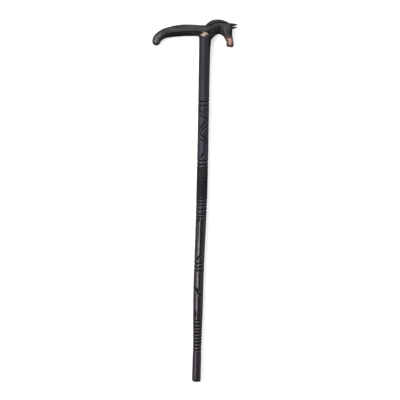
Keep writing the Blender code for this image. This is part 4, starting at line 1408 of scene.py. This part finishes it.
def heightRamp(height, rows):
    # a level or a colour that follows a table of heights
    ramp = addNode(treeOf([height]), "ShaderNodeValToRGB", {0: height / rows[-1][0]})
    points = ramp.color_ramp.elements
    for i, (at, level) in enumerate(rows):
        point = points[i] if i < 2 else points.new(1.0)
        point.position = at / rows[-1][0]
        point.color = asColour(level if isinstance(level, tuple) else (level, level, level))
    return Signal(ramp.outputs[0])


def stickWood():
    finish = stickFinish
    material, tree, shader, place = newWood("stickWood", finish)
    plug(shader.inputs["Coat Tint"], asColour(finish["coatTint"]))
    edge, cut, litLedge = (markOf(tree, name) for name in ("edge", "cut", "litLedge"))
    figure = woodFigure(place, finish)
    rubbed, settled = wearAndDust(place, edge, cut, finish)
    height = fromNode(tree, "ShaderNodeSeparateXYZ", {0: place}, output="Z")
    ragged = (figure["Tone"] - 0.5) * finish["wander"] + height
    polish = heightRamp(ragged, finish["polish"])
    band = bandMask(ragged, *finish["dullBand"])

    shade = figureShade(figure, finish)
    throat = patchAt(place, *finish["throatShade"])["Rim"]
    shade = shade * rescale(throat, 0.0, 1.0, 1.0, finish["throatDim"])
    # painted shade in the cuts, and a painted highlight on their lower sides, which look up
    lip = litLedge * rescale(cut, *finish["lipCut"], 1.0, 0.0, smooth=True)
    shadowed = rescale(cut, *finish["shadowCut"]) * (1.0 - lip)
    lit = lip * rescale(figure["Fibre"], *finish["lipFibre"])
    plug(shader.inputs["Base Color"], layered(
        dimmed(heightRamp(ragged, finish["stain"]), shade),
        ((highest(figure["Pore"] * finish["poreDeep"], shadowed), finish["deep"]),
         (rubbed["Worn"], finish["worn"]),
         (lit * rescale(band, 0.0, 1.0, *finish["litLedgeShare"]), finish["litLedge"]),
         (settled["Dust"], finish["dust"]))))

    rough = rescale(polish, 0.0, 1.0, finish["satin"], finish["polished"])
    plain, byHands, scratched, inShadow, inLattice = finish["roughSteps"]
    rough = rubbed["Polish"] * byHands + (rough + plain)
    rough = rubbed["Scratch"] * scratched + (shadowed * inShadow + rough)
    plug(shader.inputs["Roughness"], band * inLattice + rough)
    wax = polish * finish["wax"] * (1.0 - shadowed)
    plug(shader.inputs["Coat Weight"], wax * rescale(rubbed["Polish"], 0.0, 1.0, *finish["waxShare"]))
    raised(shader, (figure["Fibre"], figure["Pore"], rubbed["Scratch"]), finish["relief"])
    return material


handleFinish = {
    "level": 0.35,
    "coatRoughness": 0.15,
    "stain": (0.0320, 0.0305, 0.0395),
    # painted shade in cuts, and the dark of pores
    "deep": (0.003, 0.0025, 0.0035),
    "worn": (0.085, 0.078, 0.078),
    "dust": (0.11, 0.105, 0.10),
    "sapwood": ((0.66, 0.52, 0.455), (0.58, 0.37, 0.31)),    # at the joint and at the muzzle
    "sapwoodDark": ((0.33, 0.21, 0.165), (0.33, 0.18, 0.14)),
    "halfStained": (0.190, 0.092, 0.068),
    "satin": 0.42,
    "bare": 0.58,
    # patches off the joint's middle in metres: middle x and z, reach x and z, turn, raggedness, rim
    "patches": ((0.0634, -0.0092, 0.0050, 0.0088, 8, 0.40, 1.45),
                (0.0606, -0.0036, 0.0042, 0.0026, 0, 0.30, 1.40),
                (0.0008, 0.0090, 0.0062, 0.0030, 12, 0.55, 1.75),
                (-0.0045, 0.0046, 0.0058, 0.0030, 10, 0.55, 1.70)),
    # places painted darker than the rest: painted shade in the neck's hollows, under the bar, on the cheek
    # and round the eye, and darker ears; the same, then how much is taken away
    "darkAndShade": ((0.0330, 0.0195, 0.0085, 0.0090, 20, 0.20, 2.1, 0.80),
             (0.0125, 0.0055, 0.0080, 0.0070, 45, 0.20, 1.7, 0.75),
             (0.0160, 0.0275, 0.0080, 0.0040, 35, 0.20, 1.8, 0.52),
             (-0.0152, 0.0092, 0.0062, 0.0034, 5, 0.30, 1.6, 0.82),
             (0.0760, 0.0350, 0.0090, 0.0055, 0, 0.15, 1.5, 0.80),
             (0.0750, 0.0252, 0.0078, 0.0050, 0, 0.15, 1.4, 0.80),
             (0.0654, 0.0150, 0.0030, 0.0078, 5, 0.20, 1.6, 0.90),
             (0.0535, 0.0140, 0.0032, 0.0060, 0, 0.30, 1.6, 0.30),
             (0.0660, 0.0270, 0.0030, 0.0060, 0, 0.20, 1.6, 0.84),
             (-0.0560, 0.0050, 0.0450, 0.0052, 5, 0.10, 1.4, 0.72),
             (-0.0930, 0.0040, 0.0140, 0.0042, 0, 0.20, 1.5, 0.60),
             (-0.0680, 0.0262, 0.0170, 0.0050, 0, 0.30, 1.6, 0.50),
             (-0.0170, 0.0245, 0.0075, 0.0050, 0, 0.30, 1.6, 0.22)),
    # places painted paler: painted highlights on the bar's ridge, at the front corner of the neck, on the
    # cheek and on the top of the toe, and the rubbed toe below; the same, then how much is laid over
    "pale": ((-0.0030, 0.0195, 0.0070, 0.0018, 3, 0.45, 1.6, 0.46),
             (0.0495, 0.0265, 0.0020, 0.0070, 6, 0.45, 1.9, 0.19),
             (-0.1230, -0.0190, 0.0078, 0.0062, 0, 0.45, 1.7, 1.0),
             (-0.1146, 0.0078, 0.0042, 0.0024, 35, 0.45, 1.7, 0.55),
             (-0.0400, 0.0248, 0.0190, 0.0022, 2, 0.45, 1.8, 0.40),
             (-0.0500, 0.0178, 0.0340, 0.0018, 0, 0.45, 1.8, 0.26)),
    "toe": (-0.106, -0.122),         # where the rubbed toe starts and is full
    "toeShare": 0.33,
    "paleColour": (0.160, 0.137, 0.138),
    "snout": (0.016, -0.006),        # heights between which the muzzle turns brown
    "snoutFrom": 0.050,
    "stretch": (0.05, 1.0, 1.0),     # of the grain, drawn out along the bar
    "fibreSize": 0.0008,
    "grainSeed": 0.3,
    "toneShade": (0.30, 0.70, 0.70, 1.30),
    "fibreShade": (0.2, 0.8, 0.75, 1.20),
    "patchSize": 0.009,
    "edgeWear": 0.6,
    "scratchShare": 0.6,
    "dustAmount": 0.14,
    "relief": (0.000016, -0.000034, -0.000014),
    "wander": (0.014, 0.016),        # how far the toe's and the snout's edges sway with the grain
    "snoutRim": 0.8,                 # how brown the snout is
    "paleTone": (0.38, 0.60, 0.20, 1.0),     # the rubbed places and the painted highlights follow the grain
    "streaks": (0.30, 0.62, 0.55),   # dark streaks of the sapwood: where they start and are full, share
    "poreDeep": 0.5,
    "shadowCut": (0.02, 0.40),
    "bareDeep": 0.75,                # how dark the painted shade in a cut of bare wood is
    # what roughness gains or loses: everywhere, by hands, in scratches, cuts and dark places
    "roughSteps": (0.03, -0.07, 0.30),
    "waxShare": (0.15, 0.05),        # on stained and on bare wood
    "waxCut": (0.0, 0.9, 1.0, 0.25),         # less of it in a cut
}


def handleWood():
    finish = handleFinish
    material, tree, shader, place = newWood("handleWood", finish)
    edge, cut = markOf(tree, "edge"), markOf(tree, "cut")
    off = place - Vector((jointX, 0.0, jointZ))
    axes = signalsOf(addNode(tree, "ShaderNodeSeparateXYZ", {0: off}))
    figure = woodFigure(off, finish)
    rubbed, settled = wearAndDust(off, edge, cut, finish)

    patches = [patchAt(off, *row) for row in finish["patches"]]
    bare, rim = (highest(*[patch[zone] for patch in patches]) for zone in ("Bare", "Rim"))
    darkAndShade, pale = (highest(*[patchAt(off, *row)["Rim"] * share for *row, share in finish[tone]])
                  for tone in ("darkAndShade", "pale"))
    toeSway, snoutSway = finish["wander"]
    toe = rescale((figure["Tone"] - 0.5) * toeSway + axes["X"], *finish["toe"], smooth=True)
    head = calc("GREATER_THAN", axes["X"], finish["snoutFrom"])
    drawn = (figure["Tone"] - 0.5) * snoutSway + axes["Z"]
    snout = rescale(drawn, *finish["snout"], smooth=True) * head
    rim = highest(rim, snout * finish["snoutRim"])

    streaked = rescale(figure["Tone"], *finish["paleTone"])
    wornAndHighlight = highest(toe * finish["toeShare"], pale)
    stain = layered(finish["stain"], ((wornAndHighlight * streaked, finish["paleColour"]),
                                      (rim, finish["halfStained"])))
    *ends, share = finish["streaks"]
    streak = rescale(figure["Fibre"], *ends, 1.0, 0.0, smooth=True)
    wood = blendColour(streak * share, blendColour(head, *finish["sapwood"]),
                       blendColour(head, *finish["sapwoodDark"]))
    # painted shade in the cuts, from how deep in a cut each point lies
    sunk = rescale(cut, *finish["shadowCut"])
    deep = highest(figure["Pore"] * finish["poreDeep"], sunk)
    plug(shader.inputs["Base Color"], layered(
        # the stain dimmed by its tone and fibres, and by the dark places, which are mostly painted shade
        dimmed(stain, figureShade(figure, finish) * (1.0 - darkAndShade)),
        ((bare, wood), (deep * rescale(bare, 0.0, 1.0, 1.0, finish["bareDeep"]), finish["deep"]),
         (rubbed["Worn"] * (1.0 - bare), finish["worn"]), (settled["Dust"], finish["dust"]))))

    rough = rescale(bare, 0.0, 1.0, finish["satin"], finish["bare"])
    plain, byHands, dull = finish["roughSteps"]
    rough = rubbed["Polish"] * byHands + (rough + plain)
    rough = highest(rubbed["Scratch"], sunk, darkAndShade) * dull + rough
    plug(shader.inputs["Roughness"], rough)
    wax = rescale(bare, 0.0, 1.0, *finish["waxShare"]) * rescale(cut, *finish["waxCut"])
    plug(shader.inputs["Coat Weight"], wax)
    raised(shader, (figure["Fibre"], figure["Pore"], rubbed["Scratch"]), finish["relief"])
    return material


dowelFinish = {
    "level": 0.35,
    "coatRoughness": 0.4,
    "beech": ((0.50, 0.33, 0.19), (0.62, 0.44, 0.27)),
    "fleck": (0.27, 0.15, 0.08),
    "fleckShare": 0.8,
    "roughness": (0.52, 0.66),
    "stretch": (1.0, 1.0, 0.08),
    "fibreSize": 0.0007,
    "grainSeed": 2.0,
    "relief": (0.000015, -0.00003),
}


def dowelWood():
    # plain beech with short flecks, seen only where the cane is taken apart
    finish = dowelFinish
    material, _, shader, place = newWood("dowelWood", finish)
    figure = woodFigure(place, finish)
    beech = blendColour(rescale(figure["Tone"], 0.3, 0.7, smooth=True), *finish["beech"])
    flecked = blendColour(figure["Pore"] * finish["fleckShare"], beech, finish["fleck"])
    plug(shader.inputs["Base Color"], flecked)
    plug(shader.inputs["Roughness"], rescale(figure["Fibre"], 0.3, 0.7, *finish["roughness"]))
    raised(shader, (figure["Fibre"], figure["Pore"]), finish["relief"])
    return material


makeStick(stickWood())
makeHandle(handleWood())
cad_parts["joint_dowel"].material_slots[0].material = dowelWood()
